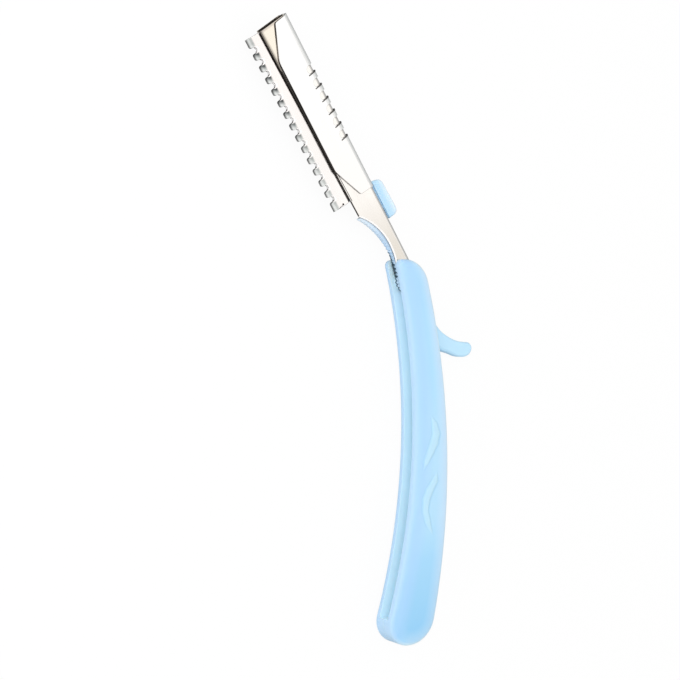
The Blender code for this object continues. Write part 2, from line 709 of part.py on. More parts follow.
def tang_core(razor, material):
    thickness = HOLDER_INNER - CORE_CLEARANCE
    core = prism("tang_core", [core_outline()], -thickness, thickness)
    core = razor.add(core, "tang_core", razor.arm, material)
    tail = prism("tail_bar", [tail_outline()], -TAIL_HALF_HEIGHT, TAIL_HALF_HEIGHT)
    round_edges(tail, [-TAIL_HALF_HEIGHT, TAIL_HALF_HEIGHT], TAIL_EDGE_ROUND)
    razor.join(core, tail, razor.arm)
    boss_cut = SPINE_X + BOSS_CUT_GAP
    for side in (1, -1):
        ends = sorted((side * BOSS_LAYER, side * 2 * TAIL_HALF_HEIGHT))
        clear = cylinder(f"boss_clearance_{side}", boss_cut, *ends)
        razor.cut(core, clear, razor.arm)
    reach = 2 * TAIL_HALF_HEIGHT
    razor.cut(core, cylinder("core_pin_hole", PIN_RADIUS + PIN_CLEARANCE, -reach, reach), razor.arm)


def blade_pusher(razor, material):
    head_y = PUSHER_TIP_Y - PUSHER_HEAD_LENGTH
    spine_side = HOLDER_FOLD_X - CORE_CLEARANCE
    body = rounded([
        (spine_side, PUSHER_HEEL_Y, 0), (spine_side, PUSHER_TIP_Y, 0), (PUSHER_HEAD_X, PUSHER_TIP_Y, 0),
        (PUSHER_HEAD_X, head_y, 0), (PUSHER_BODY_X, head_y, 0), (PUSHER_BODY_X, PUSHER_HEEL_Y, 0),
    ])
    pusher = prism("blade_pusher", [body], -PUSHER_HALF_HEIGHT, PUSHER_HALF_HEIGHT)
    pusher = razor.add(pusher, "blade_pusher", razor.pusher, material)
    foot_x = COVER_SPINE_X + TAB_FOOT_GAP
    stem = rounded([
        (spine_side - 1 * MM, STEM_HEEL_Y, 0), (foot_x + 1 * MM, STEM_HEEL_Y, 0),
        (foot_x + 1 * MM, STEM_TIP_Y, 0), (spine_side - 1 * MM, STEM_TIP_Y, 0),
    ])
    razor.join(pusher, prism("pusher_stem", [stem], -STEM_HALF_HEIGHT, STEM_HALF_HEIGHT), razor.pusher)
    tip_y = TAB_HEEL_Y + TAB_FOOT_LENGTH
    tab = rounded([
        (foot_x, TAB_HEEL_Y, 0.6 * MM), (TAB_HEEL_X, TAB_HEEL_Y + TAB_HEEL_SETBACK, TAB_CORNER),
        (TAB_TIP_X, tip_y - TAB_TIP_SETBACK, TAB_CORNER), (foot_x, tip_y, 0.6 * MM),
    ])
    plate = prism("pusher_tab", [tab], -TAB_HALF_HEIGHT, TAB_HALF_HEIGHT)
    round_edges(plate, [-TAB_HALF_HEIGHT, TAB_HALF_HEIGHT], TAB_EDGE_ROUND, 3)
    razor.join(pusher, plate, razor.pusher)


def stand_on_floor(razor):
    """Move the whole razor so that its box stands centred on the origin."""
    bpy.context.view_layer.update()
    graph = bpy.context.evaluated_depsgraph_get()
    corners = []
    for solid in razor.parts.objects:
        if solid.type == "MESH":
            shown = solid.evaluated_get(graph)
            corners += [shown.matrix_world @ vert.co for vert in shown.data.vertices]
    middle_x = (min(c.x for c in corners) + max(c.x for c in corners)) / 2
    middle_y = (min(c.y for c in corners) + max(c.y for c in corners)) / 2
    razor.root.location = (-middle_x, -middle_y, -min(c.z for c in corners))


def build():
    clear_scene()
    razor = Razor()
    plastic = new_material("pale_blue_plastic", (0.42, 0.70, 0.95), 0.35, 0.0)
    core_plastic = new_material("blue_core_plastic", (0.36, 0.64, 0.92), 0.4, 0.0)
    bright = new_material("bright_steel", (0.86, 0.85, 0.82), 0.15, 1.0)
    warm = new_material("folded_steel", (0.82, 0.78, 0.72), 0.2, 1.0)
    comb = new_material("comb_steel", (0.80, 0.78, 0.75), 0.25, 1.0)
    ground = new_material("blade_steel", (0.7, 0.7, 0.72), 0.2, 1.0)
    pin = new_material("pin_steel", (0.6, 0.6, 0.62), 0.3, 1.0)
    handle_halves(razor, plastic)
    pivot_pin(razor, pin)
    tang_core(razor, core_plastic)
    blade_holder(razor, warm)
    clamp_cover(razor, bright)
    comb_guard(razor, comb)
    razor_blade(razor, ground)
    blade_pusher(razor, plastic)
    stand_on_floor(razor)


build()
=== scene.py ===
"""Looks of a replaceable blade straight razor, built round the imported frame.

Every piece that shows is drawn again with finer curves, softened edges and its
moulded relief, and rides on the body of the CAD node that it stands for.
Lengths are millimetres until a piece is placed. The handle is drawn round the
pivot, with X across it and Y along it. The arm is drawn round the pivot too,
with +Y towards its tip and +X towards its spine.
"""
import json
import math

import bmesh
import bpy
from mathutils import Matrix, Vector

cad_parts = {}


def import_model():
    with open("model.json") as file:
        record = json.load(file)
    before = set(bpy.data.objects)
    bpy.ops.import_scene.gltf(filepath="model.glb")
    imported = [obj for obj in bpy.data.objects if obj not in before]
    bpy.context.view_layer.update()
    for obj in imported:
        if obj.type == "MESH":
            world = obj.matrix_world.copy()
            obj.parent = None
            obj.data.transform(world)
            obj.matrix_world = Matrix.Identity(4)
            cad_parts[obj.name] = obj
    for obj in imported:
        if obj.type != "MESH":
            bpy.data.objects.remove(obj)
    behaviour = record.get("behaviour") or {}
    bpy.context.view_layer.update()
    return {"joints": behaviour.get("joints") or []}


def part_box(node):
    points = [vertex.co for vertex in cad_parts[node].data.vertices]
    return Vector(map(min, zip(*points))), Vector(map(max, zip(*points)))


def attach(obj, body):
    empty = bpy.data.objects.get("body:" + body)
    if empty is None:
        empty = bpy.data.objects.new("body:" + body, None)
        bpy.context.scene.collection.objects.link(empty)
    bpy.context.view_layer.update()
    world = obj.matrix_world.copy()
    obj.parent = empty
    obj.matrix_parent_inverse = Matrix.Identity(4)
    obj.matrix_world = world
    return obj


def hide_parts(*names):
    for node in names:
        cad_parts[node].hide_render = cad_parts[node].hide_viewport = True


MM = 0.001
FINE = math.radians(4)
SMOOTH_BELOW = math.radians(40)
CURVE_STEPS = 6
END_STEPS = 30
# How far the skin's columns crowd towards its edges
COLUMN_CROWDING = 0.75
# How far blanks and cutters reach past a piece
OVER = 6.0

# Handle outline
HANDLE_TOP = 7.2
HANDLE_BOTTOM = -131.1
SLOT_EDGE = (Vector((0.25 - 230.0, -52.0)), 230.0)
BACK_EDGE = (Vector((14.7 - 258.0, -67.0)), 258.0)
TOP_SLOT_CORNER = 2.0
TOP_BACK_CORNER = 10.0
END_SLOT_CORNER = 8.0
END_BACK_CORNER = 11.0

# Handle section
PARTING_HALF = 0.06
SLOT_HALF = 2.6
WEB_THICKNESS = 2.2
SLOT_END = -121.5
SLOT_ROOM_X = -24
TAIL_ROOM_X = 38.7
RIM_HEIGHT = 3.5
FACE_RISE = 2.7
FACE_REACH = 7.0
FACE_POWER = 2.8
UNDER_SKIN = 6.0
RIM_SOFTNESS = 0.25
PARTING_SOFTNESS = 0.05
PAD_RADIUS = 3.8
PAD_FACE = 2.15
PAD_ROOT = 0.6
SOCKET_RADIUS = 1.75
SOCKET_DEPTH = 2.45
DOWEL_RADIUS = 1.3
DOWEL_REACH = 1.8
DOWEL_CHAMFER = 0.3
DOWEL_PLACES = ((-4.28, -126.5), (4.72, -126.5))

# Moulded ribs on the front: (x, y, half width) from end to end
RIBS = (
    ((6.3, -49.0, 0.15), (7.6, -52.0, 1.25), (8.35, -55.5, 1.7), (7.4, -59.0, 1.8),
     (5.8, -62.2, 1.5), (4.2, -65.3, 1.15), (2.9, -68.6, 0.2)),
    ((8.7, -69.2, 0.2), (7.7, -72.4, 1.35), (5.4, -76.0, 1.6), (4.0, -79.2, 1.6),
     (3.55, -82.8, 1.35), (4.6, -87.2, 1.25), (6.8, -92.4, 0.15)),
)
RIB_HEIGHT = 0.30
RIB_SHOULDER = 0.45
RIB_GROOVE = 0.06
# Where the groove beside a rib lies and how wide it is, in half widths of the rib
GROOVE_AT = 1.12
GROOVE_SPREAD = 0.22

# Arm
SPINE_X = 4.2
SHEET_HALF = 1.8
HOLDER_SHEET = 0.45
HOLDER_FOLD_X = SPINE_X - SHEET_HALF
HOLDER_TIP_Y = 102.3
HOLDER_TIP_SLOPE = math.tan(math.radians(5.5))
HOLDER_HEEL_Y = 30.7
HOLDER_BLANK_LOW = -12
HOLDER_HEEL_EDGES = (-7.45, -5.6)
HOLDER_TIP_EDGES = (-8.9, -7.8)
LIP_DROP = 0.35
LIP_RUN = 1.0
LIP_END = math.radians(158)
HOLDER_ROUND = 0.55
# From where the rolled edge is painted dark as a reflection, and from where a bright streak is kept out of
# that paint
ROLLED_FROM_Y = 47.0
STREAK_FROM_Y = 87.0
NECK_CENTRE = Vector((-0.85 - 20.4, 15.2))
NECK_RADIUS = 20.4
NECK_END_Y = 7.5
STEM_SLOT_HALF = 0.9
STEM_SLOT = (26.9, 44.8)

COVER_MID = 2.125
COVER_SHEET = 0.35
COVER_SPINE_X = 4.7
COVER_TIP_Y = 102.1
COVER_TIP_SLOPE = 0.14
COVER_HEEL_Y = 36.4
COVER_EDGE_X = -7.7
# (x, y, radius), from the tip down to the heel
COVER_CORNERS = (
    (-2.0, COVER_TIP_Y, 1.2), (COVER_EDGE_X, 90.0, 6), (COVER_EDGE_X, 48.0, 4), (-2.4, COVER_HEEL_Y, 1.0),
)
NOTCH_COUNT = 6
NOTCH_FIRST_Y = 57.7
NOTCH_PITCH = 4.96
NOTCH_WIDTH = 2.7
NOTCH_DEPTH = 3.9
NOTCH_LEAN = 0.12
NOTCH_ROUND = 0.16
COVER_ROUND = 0.2
BURR_START_X = 0.6
BURR_WIDTH = 0.34
BURR_RISE = 0.14
BURR_OVERLAP = 0.03

GUARD_TIP_X = -14.3
GUARD_INNER_X = -6.1
GUARD_HALF = 1.0
GUARD_SHEET = 0.4
GUARD_Y = (36.1, 101.7)
GUARD_CORNER = 1.3
GUARD_FOLD_RUN = 2.1
GUARD_ROUND = 0.15
TOOTH_CORNER = 1.15
TOOTH_ROUND = 0.45
RELIEF_HOLE = (-10.05, 36.72, 0.38)
RELIEF_SLIT = ((-13.2, 35.9), (-13.2, 36.08), (-10.05, 36.8), (-10.05, 36.6))
RELIEF_FLOOR = 0.72
GAP_COUNT = 14
GAP_PITCH = 4.385
GAP_WIDTH = 1.95
GAP_DEPTH = 2.4
BLADE_EDGE_X = GUARD_TIP_X + GAP_DEPTH - 0.3
BLADE_GRIND = 1.0
BLADE_HALF = 0.15
BLADE_WIDTH = 10
BLADE_LENGTH = 62
GUARD_END_MARGIN = 1.8

PIN_RADIUS = 1.5
PIN_REACH = 4.8
PIN_CHAMFER = 0.3

# Core and thumb tail
CORE_HALF = 1.05
CORE_ROUND = 0.16
JIMP_CENTRE = Vector((-1.6 - 27.0, 12.8))
JIMP_RADIUS = 27.0
JIMP_PITCH = 1.42
JIMP_DEPTH = 0.5
STEPS_PER_RIDGE = 10
JIMP_FADE = 0.7
JIMP_FADE_RUN = 6
JIMP_END_Y = 3.4
BOSS_RIDGES = 4
# Where the shade on the ridges starts, from where it lies on the crests alone, and where it ends
SHADE_Y = (-3.4, 8.5, 12.5)
SHADE_Z = -0.15
CORE_TOP_Y = 26.0
HORN_TOP_Y = 29.0
HORN_INNER_X = -3.6
BOSS_RADIUS = 4.8
TAIL_HALF_HEIGHT = 2.1
TAIL_EDGE_ROUND = 1.25
TAIL_SPINE_SIDE = ((1.25, -13.2), (1.25, -16.5), (1.4, -19.8), (2.2, -23.4), (4.1, -27.0), (6.45, -30.05))
TAIL_TIP = ((9.2, -32.35), (10.4, -33.2), (10.95, -34.7), (10.35, -36.2), (8.6, -37.2), (6.6, -37.0))
TAIL_EDGE_SIDE = (
    (4.9, -36.1), (3.1, -34.6), (0.9, -31.95), (-1.1, -29.8), (-2.65, -27.4), (-3.75, -24.2),
    (-4.15, -20.5), (-4.15, -16.8),
)
TAIL_STOP_GAP = 0.3
BOSS_CLEARANCE = 4.6
BOSS_LAYER = 1.15

# Blade pusher
PUSHER_HALF = 0.9
PUSHER_ROUND = 0.2
PUSHER_BODY = ((2.1, 26.8), (2.1, 37.6), (-5.6, 37.6), (-5.6, 32.4), (-2.9, 32.4), (-2.9, 26.8))
STEM_HALF = 0.6
STEM_Y = (27.2, 37.5)
STEM_INNER_X = 1.1
SKIRT = (4.35, 23.6)
TAB_CORNERS = ((4.4, 22.9, 0), (9.45, 23.1, 2.2), (8.85, 36.9, 2.2), (4.4, 37.9, 0))
TAB_FOOT_RADIUS = 2.45
TAB_FOOT_Y = (10, 50)
TAB_HALF = 1.2
TAB_ROUND = 1.0

# Camera
VIEW_TILT = math.radians(32.0)
VIEW_DISTANCE = 0.45
VIEW_CENTRE = (-0.0288, -0.0217)
VIEW_LENS = 68.07

# Light; a lamp is (energy, size, place)
WHITE = (1, 1, 1, 1)
AMBIENT = 0.92
SKY_SLANT = (0.35, 0, 0.93)
SKY_LEVELS = ((0.0, 0.22), (0.25, 0.35), (0.55, 0.62), (0.76, 0.95), (0.90, 1.10), (1.0, 1.03))
FLOOR_WHITE = 0.94
KEY = (1.2, 0.35, (-0.35, 0.15, 0.75))
FILL = (0.9, 0.5, (-0.60, 0.0, 0.20))


def steps(start, end, count):
    """Evenly spaced values, both ends with them."""
    return [start + (end - start) * index / count for index in range(count + 1)]


def arc(centre, radius, start, end, step=FINE):
    """Points along an arc, both ends with it."""
    x, y = centre
    angles = steps(start, end, max(2, math.ceil(abs(end - start) / step)))
    return [Vector((x + radius * math.cos(angle), y + radius * math.sin(angle))) for angle in angles]


def rounded(corners):
    """A closed outline of straight sides; each corner is (x, y, radius)."""
    points = []
    for index, (x, y, radius) in enumerate(corners):
        here = Vector((x, y))
        before = (Vector(corners[index - 1][:2]) - here).normalized()
        after = (Vector(corners[(index + 1) % len(corners)][:2]) - here).normalized()
        if radius == 0:
            points.append(here)
            continue
        half = before.angle(after) / 2
        centre = here + (before + after).normalized() * radius / math.sin(half)
        first = here + before * radius / math.tan(half) - centre
        last = here + after * radius / math.tan(half) - centre
        start = math.atan2(first.y, first.x)
        turn = (math.atan2(last.y, last.x) - start + math.pi) % math.tau - math.pi
        points += arc(centre, radius, start, start + turn, math.radians(9))
    return points


def curve(places):
    """A smooth line through the places."""
    points = [Vector(place) for place in places]
    line = []
    for index in range(len(points) - 1):
        before, start, end = points[max(index - 1, 0)], points[index], points[index + 1]
        after = points[min(index + 2, len(points) - 1)]
        for step in range(CURVE_STEPS):
            share = step / CURVE_STEPS
            bend = (2 * before - 5 * start + 4 * end - after) * share ** 2
            twist = (3 * start - before - 3 * end + after) * share ** 3
            line.append((2 * start + (end - before) * share + bend + twist) / 2)
    return line + [points[-1]]


def block(left, right, low, high):
    """A closed outline with four square corners."""
    return [(left, low), (right, low), (right, high), (left, high)]


def smooth(share):
    """A share from 0 to 1, eased at both ends."""
    share = min(max(share, 0.0), 1.0)
    return share * share * (3 - 2 * share)


def new_object(name, data):
    made = bpy.data.objects.new(name, data)
    bpy.context.scene.collection.objects.link(made)
    return made


def from_bmesh(name, bm):
    bmesh.ops.recalc_face_normals(bm, faces=bm.faces)
    mesh = bpy.data.meshes.new(name)
    bm.to_mesh(mesh)
    bm.free()
    return new_object(name, mesh)


def prism(name, outline, low, high):
    """A solid between two heights over a closed outline."""
    bm = bmesh.new()
    bottom, top = [[bm.verts.new((p[0], p[1], height)) for p in outline] for height in (low, high)]
    bm.faces.new(bottom)
    bm.faces.new(top)
    for index in range(len(outline)):
        bm.faces.new((bottom[index - 1], bottom[index], top[index], top[index - 1]))
    return from_bmesh(name, bm)


def bar(name, section, low, high):
    """A solid over a closed section in X and Z, between two places along Y."""
    solid = prism(name, section, -high, -low)
    solid.data.transform(Matrix.Rotation(math.pi / 2, 4, "X"))
    return solid


def soft_prism(name, outline, half, radius, segments=4):
    """A prism over one outline, rounded inwards where it passes the height half, up and down.

    A radius below zero flares it outwards there, so that as a cutter it leaves rounded edges.
    """
    doubled_area = sum(a[0] * b[1] - b[0] * a[1] for a, b in zip(outline, list(outline[1:]) + [outline[0]]))
    sign = 1 if doubled_area > 0 else -1
    inward = []
    for index, point in enumerate(outline):
        here = Vector(point[:2])
        before = (here - Vector(outline[index - 1][:2])).normalized()
        after = (Vector(outline[(index + 1) % len(outline)][:2]) - here).normalized()
        first = Vector((-before.y, before.x)) * sign
        second = Vector((-after.y, after.x)) * sign
        inward.append((first + second) / max(1 + first.dot(second), 0.3))
    levels = [(half + OVER / 2, radius)]
    for angle in steps(0, math.pi / 2, segments):
        levels.append((half - abs(radius) * (1 - math.cos(angle)), radius * (1 - math.sin(angle))))
    levels += [(-height, inset) for height, inset in reversed(levels)]
    bm = bmesh.new()
    rings = []
    for height, inset in levels:
        ring = []
        for point, toward in zip(outline, inward):
            ring.append(bm.verts.new((point[0] + toward.x * inset, point[1] + toward.y * inset, height)))
        rings.append(ring)
    for high, low in zip(rings, rings[1:]):
        for index in range(len(outline)):
            bm.faces.new((low[index - 1], low[index], high[index], high[index - 1]))
    bm.faces.new(rings[0])
    bm.faces.new(rings[-1])
    return from_bmesh(name, bm)


def lathe(name, profile, centre=(0, 0), segments=64):
    """A solid of revolution about a vertical axis; profile is (radius, height) pairs."""
    bm = bmesh.new()
    rings = []
    for radius, height in profile:
        ring = []
        for angle in steps(0, math.tau, segments)[:-1]:
            place = (centre[0] + radius * math.cos(angle), centre[1] + radius * math.sin(angle), height)
            ring.append(bm.verts.new(place))
        rings.append(ring)
    for low, high in zip(rings, rings[1:]):
        for index in range(segments):
            bm.faces.new((low[index - 1], low[index], high[index], high[index - 1]))
    bm.faces.new(rings[0])
    bm.faces.new(rings[-1])
    return from_bmesh(name, bm)


def sheet(name, near, far, low, high, thickness):
    """A bent sheet of even thickness; near and far are its sections at its two ends."""
    bm = bmesh.new()
    rings = []
    for section, y in ((near, low), (far, high)):
        ring = []
        for side in (1, -1):
            row = []
            for index, (x, z) in enumerate(section):
                before = section[max(index - 1, 0)]
                after = section[min(index + 1, len(section) - 1)]
                along = Vector((after[0] - before[0], after[1] - before[1])).normalized()
                lean = 1.0
                if 0 < index < len(section) - 1:
                    step = Vector((after[0] - x, after[1] - z)).normalized()
                    lean = max(along.dot(step), 0.5)
                reach = side * thickness / 2 / lean
                row.append(bm.verts.new((x - along.y * reach, y, z + along.x * reach)))
            ring.append(row)
        rings.append(ring)
    (near_out, near_in), (far_out, far_in) = rings
    for index in range(len(near) - 1):
        after = index + 1
        for first, second in ((near_out, far_out), (near_in, far_in), (near_out, near_in), (far_out, far_in)):
            bm.faces.new((first[index], first[after], second[after], second[index]))
    for index in (0, -1):
        bm.faces.new((near_out[index], far_out[index], far_in[index], near_in[index]))
    return from_bmesh(name, bm)


def carve(solid, cutter, operation="DIFFERENCE"):
    """Cut, join or keep a shape, and remove the cutter."""
    modifier = solid.modifiers.new("carve", "BOOLEAN")
    modifier.operation = operation
    modifier.object = cutter
    modifier.solver = "EXACT"
    graph = bpy.context.evaluated_depsgraph_get()
    carved = bpy.data.meshes.new_from_object(solid.evaluated_get(graph))
    solid.modifiers.clear()
    solid.data = carved
    bpy.data.objects.remove(cutter, do_unlink=True)


def edit(solid, change):
    """Change a solid's mesh in place."""
    bm = bmesh.new()
    bm.from_mesh(solid.data)
    change(bm)
    bm.to_mesh(solid.data)
    bm.free()


def split(bm, place, normal):
    """Part every face that a plane crosses."""
    bmesh.ops.bisect_plane(bm, geom=bm.verts[:] + bm.edges[:] + bm.faces[:], plane_co=place, plane_no=normal)


def level(edge):
    """Whether both ends of an edge are at one height."""
    first, second = edge.verts
    return abs(first.co.z - second.co.z) < 0.01


def soften(solid, offset, segments=2, angle=60, wanted=None, merge=0.3):
    """Round the convex edges sharper than the angle, in degrees, once flat faces are merged."""

    def change(bm):
        bmesh.ops.remove_doubles(bm, verts=bm.verts, dist=0.0005)
        if merge:
            bmesh.ops.dissolve_limit(bm, angle_limit=math.radians(merge), verts=bm.verts, edges=bm.edges)
        edges = []
        for edge in bm.edges:
            if edge.is_convex and edge.calc_face_angle(0) > math.radians(angle):
                if wanted is None or wanted(edge):
                    edges.append(edge)
        bmesh.ops.bevel(bm, geom=edges, offset=offset, segments=segments, profile=0.5,
                        affect="EDGES", clamp_overlap=True, miter_outer="ARC")

    edit(solid, change)


def store(solid, name, values):
    """Keep a value for each point of a piece, for its look."""
    solid.data.attributes.new(name, "FLOAT", "POINT").data.foreach_set("value", values)


def place(solid, name, matrix, body, slot, looks, nodes, choose):
    """Scale a drawn piece to metres, put it where its node is and hand it to the frame.

    Choose gives the number of a face's look from the face's centre and normal. The specks of
    edges that the carving left are collapsed first.
    """
    edit(solid, lambda bm: bmesh.ops.dissolve_degenerate(bm, dist=0.002, edges=bm.edges))
    solid.name = name
    solid.data.name = name
    solid.data.materials.clear()
    for look in looks:
        solid.data.materials.append(look)
    for face in solid.data.polygons:
        face.material_index = int(choose(face.center, face.normal)) if choose else 0
    solid.data.transform(Matrix.Scale(MM, 4))
    solid.matrix_world = matrix
    solid.data.shade_smooth()
    solid.data.set_sharp_from_angle(angle=SMOOTH_BELOW)
    weighted = solid.modifiers.new("even shading", "WEIGHTED_NORMAL")
    weighted.keep_sharp = True
    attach(solid, body)
    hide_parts(*nodes)


class HandleOutline:
    """The handle's outline: two shallow arcs joined by four corners and two flats."""

    def __init__(self):
        self.corners = [self.corner(*row) for row in (
            (SLOT_EDGE, TOP_SLOT_CORNER, 1, -1), (BACK_EDGE, TOP_BACK_CORNER, 1, 1),
            (SLOT_EDGE, END_SLOT_CORNER, -1, -1), (BACK_EDGE, END_BACK_CORNER, -1, 1),
        )]

    @staticmethod
    def corner(edge, radius, up, out):
        """A corner's long arc, centre, radius, the height at which it meets the arc, and its side."""
        arc_centre, reach = edge
        y = HANDLE_TOP - radius if up > 0 else HANDLE_BOTTOM + radius
        x = arc_centre.x + math.sqrt((reach - out * radius) ** 2 - (y - arc_centre.y) ** 2)
        centre = Vector((x, y))
        meets = arc_centre + (centre - arc_centre).normalized() * reach
        return arc_centre, centre, radius, meets.y, up, out

    @staticmethod
    def on_arc(edge, y):
        """The x of a long arc at a height."""
        centre, reach = edge
        return centre.x + math.sqrt(reach ** 2 - (y - centre.y) ** 2)

    def sides(self, y):
        """The outline's left and right x at a height."""
        found = [self.on_arc(edge, y) for edge in (SLOT_EDGE, BACK_EDGE)]
        for _, centre, radius, meets, up, out in self.corners:
            if (y - meets) * up > 0:
                found[out > 0] = centre.x + out * math.sqrt(max(radius ** 2 - (y - centre.y) ** 2, 0))
        return found

    def depth(self, point):
        """How far a point inside lies from the outline."""
        slot_depth = (point - SLOT_EDGE[0]).length - SLOT_EDGE[1]
        back_depth = BACK_EDGE[1] - (point - BACK_EDGE[0]).length
        depth = min(slot_depth, back_depth, HANDLE_TOP - point.y, point.y - HANDLE_BOTTOM)
        for arc_centre, centre, radius, _, up, out in self.corners:
            away = point - centre
            radial = (centre - arc_centre).normalized()
            across = Vector((-radial.y, radial.x)) * up
            if away.x * out >= 0 and away.dot(across) >= 0:
                depth = min(depth, radius - away.length)
        return max(depth, 0.0)

    @staticmethod
    def rows(fine, coarse):
        """Heights of the skin's rows: close at the ends and along the ribs."""
        low = HANDLE_BOTTOM + END_BACK_CORNER
        rib_low = min(rib[-1][1] for rib in RIBS) - 1
        rib_high = max(rib[0][1] for rib in RIBS) + 1
        high = HANDLE_TOP - TOP_BACK_CORNER
        spans = ((low, rib_low, coarse), (rib_low, rib_high, fine), (rib_high, high, coarse))
        quarter = steps(0, math.pi / 2, END_STEPS)
        heights = [low - END_BACK_CORNER * math.cos(angle) for angle in quarter[:-1]]
        for start, stop, step in spans:
            heights += steps(start, stop, math.ceil((stop - start) / step))[:-1]
        return heights + [high + TOP_BACK_CORNER * math.sin(angle) for angle in quarter]


def rib_height(x, y):
    """The moulded relief of the front face: two ribs, each in a shallow groove."""
    total = 0.0
    for rib in RIBS:
        for above, below in zip(rib, rib[1:]):
            if not below[1] <= y <= above[1]:
                continue
            straight = (above[1] - y) / (above[1] - below[1])
            centre = above[0] + (below[0] - above[0]) * (smooth(straight) + straight) / 2
            half = above[2] + (below[2] - above[2]) * straight
            lean = math.cos(math.atan2(below[0] - above[0], above[1] - below[1]))
            offset = abs(x - centre) * lean / half
            raised = smooth((1.0 - offset) / RIB_SHOULDER)
            groove = math.exp(-((offset - GROOVE_AT) / GROOVE_SPREAD) ** 2)
            total += min(half, 1.0) * (RIB_HEIGHT * raised - RIB_GROOVE * groove)
    return total


def face_height(depth):
    """Height of the handle's face over the middle plane, from the distance to its edge."""
    share = min(depth / FACE_REACH, 1.0)
    return RIM_HEIGHT + FACE_RISE * (1 - (1 - share) ** FACE_POWER) ** (1 / FACE_POWER)


def slot_outline():
    """The room for the folded arm: open at the top and along the slot's edge."""
    centre, reach = BACK_EDGE
    floor = (centre, reach - WEB_THICKNESS)
    high = HANDLE_TOP + OVER
    points = [(HandleOutline.on_arc(floor, y), y) for y in steps(SLOT_END, high, 60)]
    return [(SLOT_ROOM_X, SLOT_END)] + points + [(SLOT_ROOM_X, high)]


def tail_room_outline(turn):
    """The room on the open back of the handle through which the tail swings."""
    side = curve(TAIL_TIP[-1:] + TAIL_EDGE_SIDE)
    line = [Vector((side[-1].x, 0))] + side[::-1]
    points = []
    for index, point in enumerate(line):
        along = (line[min(index + 1, len(line) - 1)] - line[max(index - 1, 0)]).normalized()
        points.append(turn @ (point + Vector((along.y, -along.x)) * TAIL_STOP_GAP))
    high = HANDLE_TOP + OVER
    points += [Vector((TAIL_ROOM_X, points[-1].y)), Vector((TAIL_ROOM_X, high))]
    return points + [Vector((points[0].x, high))]


def handle_half(name, side, turn, columns, fine, coarse):
    """One moulded half, drawn above the middle plane and turned over for the back."""
    outline = HandleOutline()
    rows = outline.rows(fine, coarse)
    grid = []
    for y in rows:
        left, right = outline.sides(y)
        line = []
        for column in range(columns + 1):
            share = column / columns
            crowded = (1 - math.cos(math.pi * share)) / 2
            share = (1 - COLUMN_CROWDING) * share + COLUMN_CROWDING * crowded
            point = Vector((left + (right - left) * share, y))
            edge = y in (rows[0], rows[-1]) or column in (0, columns)
            depth = 0.0 if edge else outline.depth(point)
            height = face_height(depth)
            if side > 0 and not edge:
                height += rib_height(point.x, y)
            line.append((point.x, y, height))
        grid.append(line)
    rim = grid[0] + [line[-1] for line in grid[1:]] + grid[-1][-2::-1] + [line[0] for line in grid[-2:0:-1]]
    body = prism(name, rim, PARTING_HALF, UNDER_SKIN)
    carve(body, prism("slot", slot_outline(), -SLOT_HALF, SLOT_HALF))
    carve(body, prism("tail_room", tail_room_outline(turn), -SLOT_HALF, SLOT_HALF))
    carve(body, lathe("pad", ((PAD_RADIUS, PAD_FACE), (PAD_RADIUS, SLOT_HALF + PAD_ROOT))), "UNION")
    carve(body, lathe("socket", ((SOCKET_RADIUS, 0), (SOCKET_RADIUS, SLOT_HALF + SOCKET_DEPTH))))
    for number, spot in enumerate(DOWEL_PLACES):
        if side > 0:
            radius = DOWEL_RADIUS + 2 * PARTING_HALF
            hole = ((radius, -PARTING_HALF), (radius, DOWEL_REACH + 2 * PARTING_HALF))
            carve(body, lathe(f"hole_{number}", hole, spot, 32))
        else:
            peg = ((DOWEL_RADIUS - DOWEL_CHAMFER, -DOWEL_REACH), (DOWEL_RADIUS, DOWEL_CHAMFER - DOWEL_REACH),
                   (DOWEL_RADIUS, PARTING_HALF + DOWEL_REACH))
            carve(body, lathe(f"dowel_{number}", peg, spot, 32), "UNION")
    for height, offset in ((SLOT_HALF, RIM_SOFTNESS), (PARTING_HALF, PARTING_SOFTNESS)):
        soften(body, offset, 3, 50, merge=0,
               wanted=lambda edge: all(abs(vert.co.z - height) < 0.001 for vert in edge.verts))

    def fit_skin(bm):
        split(bm, (0, 0, RIM_HEIGHT), (0, 0, 1))
        gone = []
        for face in bm.faces:
            if all(min(abs(vert.co.z - z) for z in (RIM_HEIGHT, UNDER_SKIN)) < 0.001 for vert in face.verts):
                gone.append(face)
        bmesh.ops.delete(bm, geom=gone, context="FACES")
        loose = [vert for vert in bm.verts if not vert.link_faces]
        bmesh.ops.delete(bm, geom=loose, context="VERTS")
        skin = [[bm.verts.new(place) for place in line] for line in grid]
        for low, high in zip(skin, skin[1:]):
            for index in range(columns):
                bm.faces.new((low[index], low[index + 1], high[index + 1], high[index]))
        bmesh.ops.remove_doubles(bm, verts=bm.verts, dist=0.002)
        if side < 0:
            bmesh.ops.transform(bm, matrix=Matrix.Diagonal((1, 1, -1, 1)), verts=bm.verts)
        bmesh.ops.recalc_face_normals(bm, faces=bm.faces)

    edit(body, fit_skin)
    centre, reach = SLOT_EDGE
    places = [vert.co.copy() for vert in body.data.vertices]
    store(body, "rim_depth", [outline.depth(Vector(place[:2])) for place in places])
    store(body, "from_slot", [(Vector(place[:2]) - centre).length - reach for place in places])
    store(body, "below_rim", [RIM_HEIGHT - abs(place.z) for place in places])
    store(body, "relief", [rib_height(*place[:2]) if side > 0 and place.z > RIM_HEIGHT else 0.0
                           for place in places])
    return body


def in_slot(outline):
    """Whether a face belongs to the handle's hollow and not to its outside."""

    def hollow(centre, normal):
        if abs(normal.z) > 0.9 and abs(abs(centre.z) - SLOT_HALF) < 0.02:
            return True
        return abs(centre.z) < SLOT_HALF + 0.1 and outline.depth(Vector(centre[:2])) > 0.35

    return hollow


